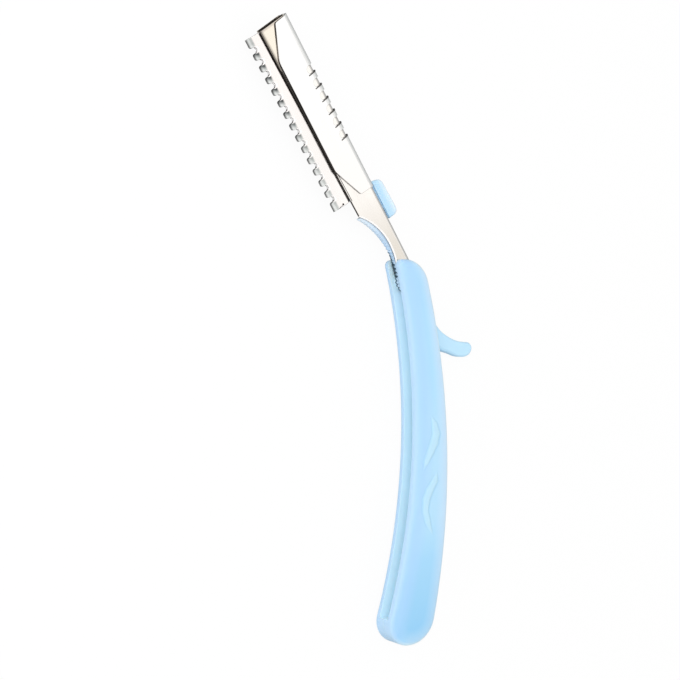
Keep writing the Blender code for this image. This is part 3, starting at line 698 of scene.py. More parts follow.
def fold(centre_x, run, radius, segments=20):
    """A section of half a turn, from the front leaf round to the back leaf."""
    return [(centre_x + run * math.cos(angle), radius * math.sin(angle))
            for angle in steps(math.pi / 2, -math.pi / 2, segments)]


def folded(free_x, centre_x, run, radius, segments=20):
    """A section of two straight leaves, from their free edges to the fold that joins them."""
    return [(free_x, radius)] + fold(centre_x, run, radius, segments) + [(free_x, -radius)]


def lip(edge_x, height):
    """A leaf's free edge, rolled in by almost a quarter turn."""
    return [(edge_x + LIP_RUN * (1 + math.cos(angle)), height - LIP_DROP + LIP_DROP * math.sin(angle))
            for angle in steps(LIP_END, math.pi / 2, 10)]


def holder_edges(y):
    """The x at which the front and the back leaf end, at a height."""
    share = (y - HOLDER_HEEL_Y) / (HOLDER_TIP_Y - HOLDER_HEEL_Y)
    return [heel + (tip - heel) * share for heel, tip in zip(HOLDER_HEEL_EDGES, HOLDER_TIP_EDGES)]


def holder_section(y):
    """The folded sheet with both rolled edges, at a height."""
    mid = SHEET_HALF - HOLDER_SHEET / 2
    front, back = [lip(edge + HOLDER_SHEET / 2, mid) for edge in holder_edges(y)]
    return front + fold(HOLDER_FOLD_X, mid, mid) + [(x, -z) for x, z in reversed(back)]


def holder_outline():
    """The flat leaf: tip, heel of the blade bed, hollow neck and pivot end."""
    outer = SPINE_X + OVER
    corner = HOLDER_FOLD_X + 0.6
    tip = [HOLDER_TIP_Y + (x - HOLDER_TIP_EDGES[0]) * HOLDER_TIP_SLOPE for x in (corner, GUARD_TIP_X)]
    points = rounded((
        (outer, HOLDER_TIP_Y - 4, 0), (corner, tip[0], 1.5), (GUARD_TIP_X, tip[1], 0),
        (GUARD_TIP_X, HOLDER_HEEL_Y, 0),
    ))
    start, end = [math.asin((y - NECK_CENTRE.y) / NECK_RADIUS) for y in (HOLDER_HEEL_Y, NECK_END_Y)]
    points += arc(NECK_CENTRE, NECK_RADIUS, start, end, math.radians(1.5))
    points += arc((0, 0), SPINE_X, math.pi, 1.75 * math.pi)
    return points + [Vector((outer, -SPINE_X / math.sqrt(2)))]


def cut_stem_slot(solid):
    """Cut the slot in the spine that the thumb tab's stem runs in."""
    outline = block(HOLDER_FOLD_X, SPINE_X + OVER, *STEM_SLOT)
    carve(solid, prism("stem_slot", outline, -STEM_SLOT_HALF, STEM_SLOT_HALF))


def cut_pin_hole(solid):
    carve(solid, lathe("pin_hole", ((SOCKET_RADIUS, -OVER), (SOCKET_RADIUS, OVER))))


def blade_holder():
    """The folded tang and blade bed, parted where its looks change."""
    low, high = HOLDER_BLANK_LOW, HOLDER_TIP_Y + OVER
    bent = sheet("blade_holder", holder_section(low), holder_section(high), low, high, HOLDER_SHEET)
    carve(bent, soft_prism("outline", holder_outline(), SHEET_HALF, HOLDER_ROUND), "INTERSECT")
    cut_stem_slot(bent)
    cut_pin_hole(bent)

    def part_looks(bm):
        for y in (STREAK_FROM_Y, ROLLED_FROM_Y, GUARD_Y[0]):
            split(bm, (0, y, 0), (0, 1, 0))

    edit(bent, part_looks)
    return bent


def holder_look(centre, normal):
    """0: leaves; 1: the front leaf's rolled edge and cut ends, painted dark as shade and dark reflection; 2:
    the round along the neck, a painted highlight; 3: spine, painted grey where it turns.
    """
    if centre.x > HOLDER_FOLD_X:
        return 3 if normal.x > 0.05 else 0
    if centre.z < 0.4 or normal.z < -0.9:
        return 0
    if centre.y < HOLDER_HEEL_Y - 0.3:
        return 1 if normal.z < 0.45 else 2 if normal.z < 0.99 else 0
    if centre.y > ROLLED_FROM_Y:
        # Near the tip a streak of the rolled edge is left out of the painted dark.
        streak = centre.y > STREAK_FROM_Y and 0.94 < normal.z < 0.967
        return 1 if normal.z < 0.985 and not streak else 0
    if centre.y > GUARD_Y[0]:
        return 1 if normal.z < 0.96 or 0.98 < normal.z < 0.997 else 0
    return 1 if normal.z < 0.975 else 0


def comb_gap(closed_x, open_x, y, width):
    """A slot with a round closed end, open towards open_x."""
    radius = width / 2
    reach = radius if closed_x > open_x else -radius
    closed_end = [(closed_x - reach + reach * math.cos(angle), y + radius * math.sin(angle))
                  for angle in steps(math.pi / 2, -math.pi / 2, 16)]
    return closed_end + [(open_x, y - radius), (open_x, y + radius)]


def tooth_gap(y):
    """A gap of the comb that widens past the teeth's rounded corners."""
    half = GAP_WIDTH / 2
    points = comb_gap(GUARD_TIP_X + GAP_DEPTH, GUARD_TIP_X, y, GAP_WIDTH)[:-2]
    inner = GUARD_TIP_X + TOOTH_CORNER
    low = arc((inner, y - half - TOOTH_CORNER), TOOTH_CORNER, math.pi / 2, math.pi, math.radians(10))
    high = arc((inner, y + half + TOOTH_CORNER), TOOTH_CORNER, math.pi, 1.5 * math.pi, math.radians(10))
    out = GUARD_TIP_X - OVER
    return points + low + [(out, low[-1].y), (out, high[0].y)] + high


def lean_of_notch(x):
    """How far a notch leans towards the tip on its way out to the spine."""
    return NOTCH_LEAN * (x - COVER_SPINE_X + NOTCH_DEPTH)


def clamp_cover():
    """The cover, with a turned-up burr on the heel side of each notch."""
    outer = COVER_SPINE_X + OVER
    section = folded(COVER_EDGE_X - OVER, HOLDER_FOLD_X, COVER_MID, COVER_MID)
    bent = sheet("clamp_cover", section, section, COVER_HEEL_Y - OVER, COVER_TIP_Y + OVER, COVER_SHEET)
    lean = COVER_TIP_SLOPE * (outer - COVER_CORNERS[0][0])
    outline = rounded(((outer, COVER_TIP_Y + lean, 0), *COVER_CORNERS, (outer, COVER_HEEL_Y, 0)))
    half = COVER_MID + COVER_SHEET / 2
    carve(bent, soft_prism("outline", outline, half, COVER_ROUND), "INTERSECT")
    reach = half + BURR_RISE - COVER_SHEET / 2
    burr_section = folded(BURR_START_X, HOLDER_FOLD_X, reach, reach)
    for index in range(NOTCH_COUNT):
        y = NOTCH_FIRST_Y + index * NOTCH_PITCH
        notch = comb_gap(COVER_SPINE_X - NOTCH_DEPTH, outer, y, NOTCH_WIDTH)
        notch = [(x, y + lean_of_notch(x)) for x, y in notch]
        carve(bent, soft_prism("notch", notch, half, -NOTCH_ROUND, 3))
        floor = y - NOTCH_WIDTH / 2
        low, high = floor - BURR_WIDTH, floor + BURR_OVERLAP
        burr = sheet("burr", burr_section, burr_section, low, high, COVER_SHEET)
        for vert in burr.data.vertices:
            vert.co.y += lean_of_notch(vert.co.x)
        carve(bent, burr, "UNION")
    cut_stem_slot(bent)
    return bent


def cover_look(centre, normal):
    """0: leaves; 1: the front's cut edge, partly raw steel and partly painted shade; 2: burrs, painted dark
    as shade; 3: spine, painted grey where it turns; 4: the edges of the notches, painted grey as shade.
    """
    index = round((centre.y - NOTCH_FIRST_Y) / NOTCH_PITCH)
    if 0 <= index < NOTCH_COUNT and centre.x > BURR_START_X - 0.1:
        floor = NOTCH_FIRST_Y + index * NOTCH_PITCH - NOTCH_WIDTH / 2 + lean_of_notch(centre.x)
        if -BURR_WIDTH - 0.02 < centre.y - floor < 0.06:
            return 2
    if centre.x > HOLDER_FOLD_X:
        return 3 if normal.x > 0.05 else 0
    if centre.z < 0 or not -0.9 < normal.z < 0.985:
        return 0
    notched = 0 <= index < NOTCH_COUNT and centre.x > COVER_SPINE_X - NOTCH_DEPTH - 0.3
    return 4 if notched else 1


def comb_guard():
    """The folded guard with its gaps, and a small relief cut at the heel."""
    low, high = GUARD_Y
    mid = GUARD_HALF - GUARD_SHEET / 2
    outer = GUARD_TIP_X - OVER
    run = GUARD_FOLD_RUN - GUARD_SHEET / 2
    section = folded(GUARD_INNER_X + OVER, GUARD_TIP_X + GUARD_FOLD_RUN, -run, mid, 32)
    bent = sheet("comb_guard", section, section, low - OVER, high + OVER, GUARD_SHEET)
    outline = rounded((
        (outer, low, 0), (GUARD_INNER_X, low, GUARD_CORNER),
        (GUARD_INNER_X, high, GUARD_CORNER), (outer, high, 0),
    ))
    carve(bent, soft_prism("outline", outline, GUARD_HALF, GUARD_ROUND), "INTERSECT")
    for index in range(GAP_COUNT):
        y = (low + high) / 2 + (index - (GAP_COUNT - 1) / 2) * GAP_PITCH
        carve(bent, soft_prism("gap", tooth_gap(y), GUARD_HALF, -TOOTH_ROUND))
    carve(bent, prism("slit", RELIEF_SLIT, RELIEF_FLOOR, OVER))
    x, y, radius = RELIEF_HOLE
    carve(bent, lathe("relief", ((radius, RELIEF_FLOOR), (radius, OVER)), (x, y), 16))
    return bent


def comb_look(centre, normal):
    """0: leaves; 1: the walls of the gaps, painted light; 2: the relief cut at the heel, painted dark as the
    shade of a hole.
    """
    x, y, radius = RELIEF_HOLE
    in_reach = centre.y < y + radius + 0.01 and RELIEF_SLIT[0][0] < centre.x < x + radius + 0.01
    if in_reach and RELIEF_FLOOR - 0.01 < centre.z < GUARD_HALF - 0.01:
        return 2
    limit = 0.995 if centre.x > GUARD_TIP_X + GUARD_FOLD_RUN else 0.9
    return 1 if abs(normal.z) < limit and centre.x > GUARD_TIP_X + 1.0 else 0


def ridge(step):
    """How high the ridges stand at a step along them, from 0 in a groove to 1 on a crest."""
    return 1 - abs(math.sin(math.pi * step / STEPS_PER_RIDGE))


def core_outline():
    """The flat insert: ridged hollow edge, boss round the pin, straight spine side."""
    top, low = [math.asin((y - JIMP_CENTRE.y) / JIMP_RADIUS) for y in (HORN_TOP_Y, JIMP_END_Y)]
    count = round(JIMP_RADIUS * (top - low) / JIMP_PITCH) * STEPS_PER_RIDGE
    points = []
    for step, angle in enumerate(steps(top, low, count)):
        y = JIMP_CENTRE.y + JIMP_RADIUS * math.sin(angle)
        fade = 1 - JIMP_FADE * smooth((y - SHADE_Y[2]) / JIMP_FADE_RUN)
        radius = JIMP_RADIUS + JIMP_DEPTH * fade * ridge(step)
        points.append(JIMP_CENTRE + radius * Vector((math.cos(angle), math.sin(angle))))
    start = math.pi - math.asin(JIMP_END_Y / BOSS_RADIUS)
    for step in range(1, BOSS_RIDGES * STEPS_PER_RIDGE):
        angle = start + step / STEPS_PER_RIDGE * JIMP_PITCH / BOSS_RADIUS
        radius = BOSS_RADIUS - JIMP_DEPTH * ridge(step)
        points.append(Vector((radius * math.cos(angle), radius * math.sin(angle))))
    boss_end = math.tau - math.acos(HOLDER_FOLD_X / BOSS_RADIUS)
    points += arc((0, 0), BOSS_RADIUS, start + (BOSS_RIDGES - 0.4) * JIMP_PITCH / BOSS_RADIUS, boss_end)
    return points + [(HOLDER_FOLD_X, CORE_TOP_Y), (HORN_INNER_X, CORE_TOP_Y), (HORN_INNER_X, HORN_TOP_Y)]


def tang_core():
    """The insert with its thick thumb tail, thinned again round the pin's pads."""
    core = prism("tang_core", core_outline(), -CORE_HALF, CORE_HALF)
    soften(core, CORE_ROUND)
    outline = curve(TAIL_SPINE_SIDE + TAIL_TIP + TAIL_EDGE_SIDE)
    outline = [(outline[0].x, 0)] + outline + [(outline[-1].x, 0)]
    tail = prism("tail", outline, -TAIL_HALF_HEIGHT, TAIL_HALF_HEIGHT)
    soften(tail, TAIL_EDGE_ROUND, 7, wanted=level)
    carve(core, tail, "UNION")
    for side in (1, -1):
        ends = sorted((side * BOSS_LAYER, side * 2 * TAIL_HALF_HEIGHT))
        carve(core, lathe("clearance", [(BOSS_CLEARANCE, end) for end in ends], segments=96))
    cut_pin_hole(core)
    edit(core, lambda bm: split(bm, (0, 0, SHADE_Z), (0, 0, 1)))
    return core


def core_look(centre, normal):
    """0: plain; 1: shade low on the ridges that run into the handle; 2: their crests above it."""
    low, dark, high = SHADE_Y
    flat = Vector(centre[:2])
    if abs(normal.z) > 0.6 or centre.x > -1.0 or not low < centre.y < high:
        return 0
    if flat.length < BOSS_RADIUS - JIMP_DEPTH - 0.05:
        return 0
    below_crest = min(abs((flat - JIMP_CENTRE).length - JIMP_RADIUS), abs(BOSS_RADIUS - flat.length))
    crest = below_crest < 0.45 * JIMP_DEPTH
    if centre.z < SHADE_Z:
        return 1 if crest or centre.y < dark else 0
    return 2 if crest else 0


def blade_pusher():
    """The body in the holder, the stem in its slot and the thumb tab on the spine."""
    pusher = prism("blade_pusher", PUSHER_BODY, -PUSHER_HALF, PUSHER_HALF)
    soften(pusher, PUSHER_ROUND)
    low, high = STEM_Y
    foot = TAB_CORNERS[0][0]
    for name, outline in (("stem", block(STEM_INNER_X, foot + 1, low, high)),
                          ("skirt", block(SKIRT[0], foot + 1, SKIRT[1], low + 1))):
        carve(pusher, prism(name, outline, -STEM_HALF, STEM_HALF), "UNION")
    tab = prism("tab", rounded(TAB_CORNERS), -TAB_HALF, TAB_HALF)
    soften(tab, TAB_ROUND, 6,
           wanted=lambda edge: level(edge) and max(vert.co.x for vert in edge.verts) - foot > 0.01)
    carve(tab, bar("foot", fold(HOLDER_FOLD_X, TAB_FOOT_RADIUS, TAB_FOOT_RADIUS, 32), *TAB_FOOT_Y))
    carve(pusher, tab, "UNION")
    return pusher


def strip_blade():
    """The strip, ground on both faces to a fine edge."""
    edge, half = BLADE_EDGE_X, BLADE_HALF
    section = [(edge, 0.02), (edge + 0.35, 0.06), (edge + BLADE_GRIND, half),
               (edge + BLADE_WIDTH - 0.05, half), (edge + BLADE_WIDTH, half - 0.05)]
    section += [(x, -z) for x, z in reversed(section)]
    low = GUARD_Y[0] + GUARD_END_MARGIN
    return bar("razor_blade", section, low, low + BLADE_LENGTH)


def blade_look(centre, normal):
    """0: strip; 1: the two honed bevels along the edge, painted light."""
    return 1 if centre.x < BLADE_EDGE_X + BLADE_GRIND - 0.01 else 0


def pivot_pin():
    ends = ((PIN_RADIUS - PIN_CHAMFER, PIN_REACH), (PIN_RADIUS, PIN_REACH - PIN_CHAMFER))
    return lathe("pivot_pin", [(radius, -height) for radius, height in ends] + list(reversed(ends)))


class Nodes:
    """A node tree, filled by the calls below; a value that they take is a number or a socket."""

    def __init__(self, tree):
        self.tree = tree

    def plug(self, value, socket):
        """Link a socket to another node's output, or give it a value of its own."""
        if isinstance(value, bpy.types.NodeSocket):
            self.tree.links.new(value, socket)
        else:
            socket.default_value = value

    def out(self, kind, output, sockets=(), **settings):
        """Add a node and give one of its outputs; sockets holds its inputs by name or number."""
        made = self.tree.nodes.new(kind)
        for key, value in settings.items():
            setattr(made, key, value)
        for key, value in dict(sockets).items():
            self.plug(value, made.inputs[key])
        return made.outputs[output]

    def dot(self, source, course):
        """How far a point lies along a course."""
        return self.out("ShaderNodeVectorMath", "Value", {0: source, 1: course}, operation="DOT_PRODUCT")

    def both(self, first, second):
        """The product of two values."""
        return self.out("ShaderNodeMath", "Value", {0: first, 1: second}, operation="MULTIPLY")

    def colours(self, source, *stops):
        """A colour ramp over a value; stops are (place, colour)."""
        ramp = self.tree.nodes.new("ShaderNodeValToRGB")
        elements = ramp.color_ramp.elements
        while len(elements) < len(stops):
            elements.new(0.5)
        for element, (where, colour) in zip(elements, stops):
            element.position = where
            element.color = (*colour, 1)
        self.plug(source, ramp.inputs["Fac"])
        return ramp.outputs["Color"]

    def mix(self, share, first, second):
        """Two shaders mixed by a share."""
        return self.out("ShaderNodeMixShader", "Shader", {"Fac": share, 1: first, 2: second})


class Surface(Nodes):
    """A Principled material; its calls measure along the piece's own axes, in millimetres."""

    def __init__(self, name, **sockets):
        self.material = bpy.data.materials.new(name)
        self.material.use_nodes = True
        super().__init__(self.material.node_tree)
        self.shader = self.tree.nodes["Principled BSDF"]
        self.place = self.out("ShaderNodeTexCoord", "Object")
        for key, value in sockets.items():
            self.set(key.replace("_", " "), value)

    def set(self, socket, value):
        self.plug(value, self.shader.inputs[socket])

    def painted(self, colour):
        """The surface itself, with this base colour."""
        self.set("Base Color", colour)
        return self

    def noise(self, scale, stretch=(1, 1, 1), detail=3.0, roughness=0.5):
        """Noise over the piece; scale is features a metre."""
        stretched = self.out("ShaderNodeMapping", "Vector", {"Scale": stretch, "Vector": self.place})
        return self.out("ShaderNodeTexNoise", "Fac", {
            "Scale": scale, "Detail": detail, "Roughness": roughness, "Vector": stretched})

    def span(self, source, low, high, start=0.3, stop=0.7):
        """A value from start to stop remapped to run from low to high."""
        return self.out("ShaderNodeMapRange", "Result", {
            "From Min": start, "From Max": stop, "To Min": low, "To Max": high, "Value": source})

    def toward(self, course, start, stop):
        """0 to 1 between two places along a course."""
        return self.span(self.dot(self.place, course), 0.0, 1.0, start * MM, stop * MM)

    def along(self, axis, start, stop):
        """0 to 1 between two places on an axis."""
        return self.toward([float(name == axis) for name in "XYZ"], start, stop)

    def within(self, axis, first, second):
        """1 on a stretch of an axis; each of its ends is (where it is 0, where it is 1)."""
        return self.both(self.along(axis, *first), self.along(axis, *second))

    def repeat(self, source, count):
        """A share from 0 to 1 turned into that many shares from 0 to 1, one after another."""
        return self.out("ShaderNodeMath", "Value", {0: self.both(source, count)}, operation="FRACT")

    def blend(self, share, first, second):
        """A mix of two colours, each a colour or a socket."""
        sockets = {0: share}
        for number, value in ((6, first), (7, second)):
            sockets[number] = value if isinstance(value, bpy.types.NodeSocket) else (*value, 1)
        return self.out("ShaderNodeMix", 2, sockets, data_type="RGBA")

    def fade(self, axis, start, stop, first, second):
        """One colour turning into another between two places on an axis."""
        return self.blend(self.along(axis, start, stop), first, second)

    def stored(self, name, start, stop, low=0.0, high=1.0):
        """A value kept on the piece's points, remapped."""
        kept = self.out("ShaderNodeAttribute", "Fac", attribute_name=name)
        return self.span(kept, low, high, start, stop)

    def bump(self, source, strength, distance):
        sockets = {"Strength": strength, "Distance": distance * MM, "Height": source}
        self.set("Normal", self.out("ShaderNodeBump", "Normal", sockets))


def steel(name, dark, light, roughness, metallic=1.0):
    """Polished sheet with fine lengthwise brushing and a slow change of tone."""
    surface = Surface(name, Metallic=metallic)
    surface.tone = surface.colours(surface.noise(260, (1, 0.06, 1), 3.0), (0.35, dark), (0.65, light))
    surface.set("Base Color", surface.tone)
    brushed = surface.noise(1800, (1, 0.03, 1), 4.0, 0.6)
    surface.set("Roughness", surface.span(brushed, *roughness))
    surface.bump(brushed, 0.05, 0.02)
    return surface


def plastic(name, dark, light, roughness, subsurface):
    """Milky moulded plastic: slow clouding in tone and gloss, fine moulding texture."""
    surface = Surface(name, Subsurface_Weight=subsurface, Subsurface_Scale=0.0015, IOR=1.46,
                      Subsurface_Radius=(0.7, 0.9, 1.0))
    cloud = surface.noise(45, (1, 0.6, 1), 2.0)
    surface.tone = surface.colours(cloud, (0.3, dark), (0.7, light))
    surface.set("Base Color", surface.tone)
    surface.set("Roughness", surface.span(cloud, *roughness))
    surface.bump(surface.noise(900, detail=2.0), 0.06, 0.02)
    return surface


def milky_handle():
    """The handle's plastic: deeper in colour towards its end and paler in its middle, with painted light
    beside the slot, a painted sheen on the far side and the rims, painted highlights on the ribs and painted
    shade in their grooves.
    """
    surface = plastic("milky_blue", (0.38, 0.665, 0.89), (0.42, 0.705, 0.91), (0.26, 0.36), 0.25)

    def lengthwise(near, far):
        return surface.fade("Y", -85, -125, near, far)

    middle = surface.within("Y", (-34, -52), (-100, -84))
    body = surface.blend(middle, lengthwise(surface.tone, (0.29, 0.59, 0.85)), (0.46, 0.715, 0.90))
    # Painted light: the strip beside the slot is tinted lighter.
    slot_side = surface.stored("from_slot", 3.0, 7.5, 1.0, 0.0)
    slot_side_light = surface.blend(slot_side, body, lengthwise((0.41, 0.65, 0.91), (0.36, 0.61, 0.87)))
    # Painted sheen: paler near the rim on the far side.
    far_side = surface.stored("from_slot", 4.0, 9.0)
    wide = surface.both(far_side, surface.stored("rim_depth", 0.5, 6.0, 1.0, 0.0))
    pale = surface.blend(wide, slot_side_light, lengthwise((0.58, 0.76, 0.94), (0.46, 0.69, 0.89)))
    # Painted sheen on the rims and side walls, palest at the top of the far side's wall.
    far_rim_sheen = surface.blend(surface.stored("below_rim", 0.1, 1.2), (0.68, 0.85, 0.91), (0.50, 0.74, 0.93))
    rim = surface.blend(far_side, (0.47, 0.67, 0.87), far_rim_sheen)
    rimmed = surface.blend(surface.stored("rim_depth", 0.0, 1.4, 1.0, 0.0), pale, rim)
    # Painted highlight on the ribs' tops and painted shade in the grooves beside them.
    raised = surface.blend(surface.stored("relief", 0.04, 0.34), rimmed, (0.50, 0.74, 0.88))
    groove_shade = surface.stored("relief", -0.06, -0.01, 1.0, 0.0)
    return surface.painted(surface.blend(groove_shade, raised, (0.40, 0.66, 0.86)))


def lit_hollow():
    """The handle's hollow, painted paler and given a faint painted glow, standing in for light that comes
    through the milky plastic.
    """
    surface = plastic("hollow_painted_glow", (0.62, 0.79, 0.89), (0.66, 0.82, 0.92), (0.4, 0.5), 0.25)
    # A faint painted glow, though the hollow holds no lamp.
    surface.set("Emission Color", (0.04, 0.07, 0.08, 1))
    surface.set("Emission Strength", 1.0)
    return surface


def moulded_tab():
    """The thumb tab's plastic, with a painted sheen that pales it towards its free edge."""
    surface = plastic("tab_blue", (0.47, 0.70, 0.90), (0.50, 0.73, 0.92), (0.24, 0.34), 0.25)
    return surface.painted(surface.fade("X", 6.2, 9.5, surface.tone, (0.80, 0.88, 0.95)))


def moulded_core():
    """The insert's plastic, paler towards the heel of the blade bed and bluer on the tail."""
    surface = plastic("core_blue", (0.47, 0.63, 0.81), (0.51, 0.68, 0.85), (0.3, 0.42), 0.15)
    paler = surface.fade("Y", 17, 29, surface.tone, (0.72, 0.83, 0.93))
    return surface.painted(surface.fade("Y", -6, -12, paler, (0.50, 0.75, 0.93)))


def warm_sheet():
    """The holder's steel: warmer at its tip; painted dark reflection along the tip edge and where it rolls
    in, and a painted reflection greying it towards the handle.
    """
    surface = steel("warm_sheet", (0.93, 0.89, 0.85), (0.98, 0.95, 0.91), (0.16, 0.28))
    warm = surface.fade("Y", 84, 90, surface.tone, (0.96, 0.885, 0.77))
    # Painted dark reflection in a band along the tip edge.
    end = HOLDER_TIP_Y - HOLDER_TIP_SLOPE * HOLDER_TIP_EDGES[0]
    tip_edge_shade = surface.toward((-HOLDER_TIP_SLOPE, 1, 0), end - 1.5, end - 0.9)
    tip = surface.blend(tip_edge_shade, warm, (0.70, 0.63, 0.56))
    # Painted reflection, greyer towards the handle.
    neck = surface.fade("Y", 34, 14, tip, (0.78, 0.735, 0.67))
    # Painted dark reflection where the front leaf rolls in, from ROLLED_FROM_Y up.
    edge, next_edge = holder_edges(0)[0], holder_edges(1)[0]
    rolled = surface.both(surface.toward((1, edge - next_edge, 0), edge + 1.6, edge + 0.3),
                          surface.along("Y", ROLLED_FROM_Y - 2, ROLLED_FROM_Y + 4))
    return surface.painted(surface.blend(rolled, neck, (0.16, 0.14, 0.12)))


def soft_spine(name, flat, round_reflection):
    """Steel with a painted grey reflection where the sheet turns down over the spine."""
    surface = steel(name, flat, flat, (0.25, 0.4), 0.3)
    return surface.painted(surface.fade("X", 2.4, 3.0, surface.tone, round_reflection))


def bright_sheet():
    """The cover's steel, warmer towards its heel, with a painted grey reflection where it nears the spine."""
    surface = steel("bright_sheet", (0.96, 0.955, 0.95), (0.99, 0.985, 0.98), (0.08, 0.16))
    warm = surface.fade("Y", 70, 42, surface.tone, (0.985, 0.955, 0.935))
    spine_reflection = surface.both(surface.along("X", 1.8, 2.4), surface.within("Y", (101, 88), (52, 62)))
    return surface.painted(surface.blend(spine_reflection, warm, (0.76, 0.76, 0.75)))


def cover_edge_painted_shade():
    """The cover's cut edge: dark along the blade, partly raw steel and partly painted shade, and paled by
    painted reflections at both slopes.
    """
    surface = steel("cover_edge_painted_shade", (0.07, 0.065, 0.06), (0.12, 0.11, 0.10), (0.3, 0.4))
    heel_slope_reflection = surface.fade("Y", 47.5, 45, surface.tone, (0.75, 0.74, 0.72))
    tip_slope_reflection = surface.within("Y", (88.5, 91), (99, 93))
    return surface.painted(surface.blend(tip_slope_reflection, heel_slope_reflection, (0.55, 0.5, 0.46)))


def comb_sheet():
    """The guard's steel, with painted dark reflection where each tooth bends down and painted grey reflection
    again at its nose.
    """
    surface = steel("comb_sheet", (0.95, 0.915, 0.895), (0.99, 0.955, 0.935), (0.16, 0.26))
    rosy = surface.fade("Y", 55, 95, surface.tone, (0.985, 0.925, 0.90))
    teeth = GAP_COUNT + 1
    first = (GUARD_Y[0] + GUARD_Y[1] - teeth * GAP_PITCH) / 2
    across = surface.repeat(surface.along("Y", first, first + teeth * GAP_PITCH), teeth)
    # Painted dark reflection on each tooth's bend, darker on the teeth towards the tip.
    toward_tip = surface.within("Y", (48, 78), (100.2, 98.2))
    shade = surface.blend(toward_tip, (0.50, 0.52, 0.51), (0.07, 0.08, 0.08))
    tooth = surface.blend(surface.span(across, 0.0, 1.0, 0.36, 0.62), (0.58, 0.60, 0.59), shade)
    bend = surface.fade("X", -11.9, -12.5, rosy, tooth)
    # Painted grey reflection at the noses.
    nose_dark_reflection = surface.blend(toward_tip, (0.80, 0.82, 0.81), (0.22, 0.23, 0.23))
    nose = surface.blend(surface.span(across, 0.0, 1.0, 0.4, 0.7), (0.90, 0.92, 0.91), nose_dark_reflection)
    return surface.painted(surface.fade("X", -12.9, -13.9, bend, nose))


def materials():
    made = {
        "handle": milky_handle(),
        "hollow": lit_hollow(),
        "core": moulded_core(),
        # groove and ridge: painted shade on the ridged edge where it runs into the handle
        "groove": plastic("groove_painted_shade", (0.07, 0.14, 0.20), (0.10, 0.18, 0.25), (0.5, 0.6), 0.0),
        "ridge": plastic("ridge_painted_shade", (0.42, 0.58, 0.74), (0.48, 0.64, 0.80), (0.4, 0.5), 0.0),
        "tab": moulded_tab(),
        "holder": warm_sheet(),
        # rim: near-black steel, partly raw cut edge and partly painted shade and dark reflection, also in the
        # guard's relief dimple
        "rim": steel("cut_edge_painted_shade", (0.025, 0.022, 0.02), (0.06, 0.055, 0.05), (0.3, 0.45)),
        "holder_spine": soft_spine("holder_spine", (0.90, 0.86, 0.81), (0.52, 0.51, 0.49)),
        "cover_spine": soft_spine("cover_spine", (0.80, 0.80, 0.79), (0.66, 0.67, 0.66)),
        "cover": bright_sheet(),
        # burr: the burrs painted near-black as shade
        "burr": steel("notch_burr_painted_shade", (0.06, 0.055, 0.05), (0.11, 0.105, 0.10), (0.3, 0.45)),
        # notch: the notch edges painted grey as shade
        "notch": steel("notch_edge_painted_shade", (0.58, 0.58, 0.57), (0.66, 0.66, 0.65), (0.4, 0.5), 0.3),
        "cover_rim": cover_edge_painted_shade(),
        "comb": comb_sheet(),
        # comb_rim: a pale matt copy of the steel, painted light on the gap walls and a painted highlight
        # along the holder's neck
        "comb_rim": steel("comb_edge_painted_light", (0.90, 0.87, 0.85), (0.95, 0.92, 0.90), (0.5, 0.6), 0.0),
        "blade": steel("ground_strip", (0.86, 0.87, 0.88), (0.92, 0.92, 0.93), (0.45, 0.6), 0.8),
        # honed: a pale matt copy of the steel, painted light on the bevels that lie in shade under the guard
        "honed": steel("honed_bevel_painted_light", (0.92, 0.92, 0.92), (0.96, 0.96, 0.96), (0.45, 0.6), 0.0),
        "pin": steel("turned_pin", (0.5, 0.5, 0.52), (0.62, 0.62, 0.64), (0.25, 0.35)),
    }
    return {key: surface.material for key, surface in made.items()}


def build_world():
    """White to the camera; to metal, a bright sky over a dark band at the horizon."""
    world = bpy.data.worlds.new("studio")
    bpy.context.scene.world = world
    world.use_nodes = True
    world.node_tree.nodes.clear()
    sky = Nodes(world.node_tree)

    def light(colour, strength=1.0):
        return sky.out("ShaderNodeBackground", "Background", {"Color": colour, "Strength": strength})

    height = sky.dot(sky.out("ShaderNodeTexCoord", "Generated"), SKY_SLANT)
    stops = [(where, (level, level * 0.995, level * 0.985)) for where, level in SKY_LEVELS]
    seen_in_gloss = light(sky.colours(height, *stops))
    by_gloss = sky.mix(sky.out("ShaderNodeLightPath", "Is Glossy Ray"), light(WHITE, AMBIENT), seen_in_gloss)
    by_camera = sky.mix(sky.out("ShaderNodeLightPath", "Is Camera Ray"), by_gloss, light(WHITE))
    sky.plug(by_camera, sky.tree.nodes.new("ShaderNodeOutputWorld").inputs["Surface"])


def build_floor():
    """A pale floor, white to the camera but for a faint shadow."""
    bm = bmesh.new()
    bmesh.ops.create_grid(bm, x_segments=1, y_segments=1, size=3.0)
    floor = from_bmesh("floor", bm)
    floor.location.z = -0.00005
    floor.visible_glossy = False
    surface = Surface("pale_floor", Base_Color=(0.9, 0.9, 0.9, 1), Roughness=0.9, Specular_IOR_Level=0.0)
    glow = surface.out("ShaderNodeEmission", "Emission", {"Color": WHITE})
    share = surface.both(surface.out("ShaderNodeLightPath", "Is Camera Ray"), FLOOR_WHITE)
    mixed = surface.mix(share, surface.shader.outputs["BSDF"], glow)
    surface.plug(mixed, surface.tree.nodes["Material Output"].inputs["Surface"])
    floor.data.materials.append(surface.material)


def build_lamp(name, energy, size, spot):
    """A soft square lamp aimed at the part, unseen in its gloss."""
    light = bpy.data.lights.new(name, "AREA")
    light.shape = "SQUARE"
    light.size = size
    light.energy = energy
    holder = new_object(name, light)
    holder.location = spot
    holder.rotation_euler = (-Vector(spot)).to_track_quat("-Z", "Y").to_euler()
    holder.visible_glossy = False


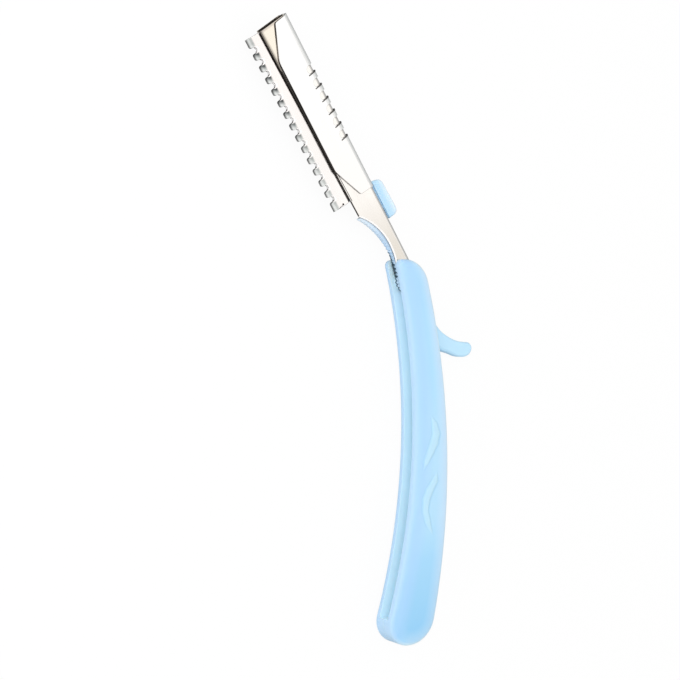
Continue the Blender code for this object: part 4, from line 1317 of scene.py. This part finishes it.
def build_camera(pivot):
    camera = bpy.data.cameras.new("view")
    camera.lens = VIEW_LENS
    camera.sensor_width = 36.0
    camera.clip_start = 0.01
    holder = new_object("view", camera)
    centre = pivot + Vector((VIEW_CENTRE[0], VIEW_CENTRE[1], 0))
    away = Vector((-math.sin(VIEW_TILT), 0, math.cos(VIEW_TILT)))
    up = Vector((0, 1, 0))
    turn = Matrix((up.cross(away), up, away)).transposed().to_4x4()
    holder.matrix_world = Matrix.Translation(centre + away * VIEW_DISTANCE) @ turn
    bpy.context.scene.camera = holder


def build():
    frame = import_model()
    low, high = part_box("pivot_pin")
    pivot = (low + high) / 2
    build_camera(pivot)
    guard_axis = next(j["axis"] for j in frame["joints"] if j["name"] == "guard_slide")
    arm_angle = math.atan2(-guard_axis[0], guard_axis[1])
    handle = Matrix.Translation(pivot)
    arm = handle @ Matrix.Rotation(arm_angle, 4, "Z")
    turn = Matrix.Rotation(arm_angle, 2)
    looks = materials()
    front = handle_half("handle_front", 1, turn, 120, 0.4, 1.0)
    back = handle_half("handle_back", -1, turn, 60, 1.2, 1.2)
    hollow = in_slot(HandleOutline())
    rows = (
        (front, "handle_front", "handle", "handle_plastic", "handle_front_half", "handle hollow", hollow),
        (back, "handle_back", "handle", "handle_plastic", "handle_back_half", "handle hollow", hollow),
        (pivot_pin(), "pivot", "handle", "pin_steel", "pivot_pin", "pin", None),
        (tang_core(), "core_and_tail", "arm", "core_plastic", "tang_core", "core groove ridge", core_look),
        (blade_holder(), "holder", "arm", "holder_steel", "blade_holder",
         "holder rim comb_rim holder_spine", holder_look),
        (clamp_cover(), "cover", "arm", "cover_steel", "clamp_cover",
         "cover cover_rim burr cover_spine notch", cover_look),
        (comb_guard(), "comb", "guard", "comb_steel", "comb_guard", "comb comb_rim rim", comb_look),
        (strip_blade(), "strip_blade", "blade", "blade_steel", "razor_blade", "blade honed", blade_look),
        (blade_pusher(), "thumb_tab", "pusher", "tab_plastic", "blade_pusher", "tab", None),
    )
    for solid, name, body, slot, node, keys, choose in rows:
        matrix = handle if body == "handle" else arm
        place(solid, name, matrix, body, slot, [looks[key] for key in keys.split()], [node], choose)
    build_world()
    build_floor()
    build_lamp("key", *KEY)
    build_lamp("fill", *FILL)
    scene = bpy.context.scene
    scene.view_settings.view_transform = "Standard"
    bpy.context.view_layer.update()


build()
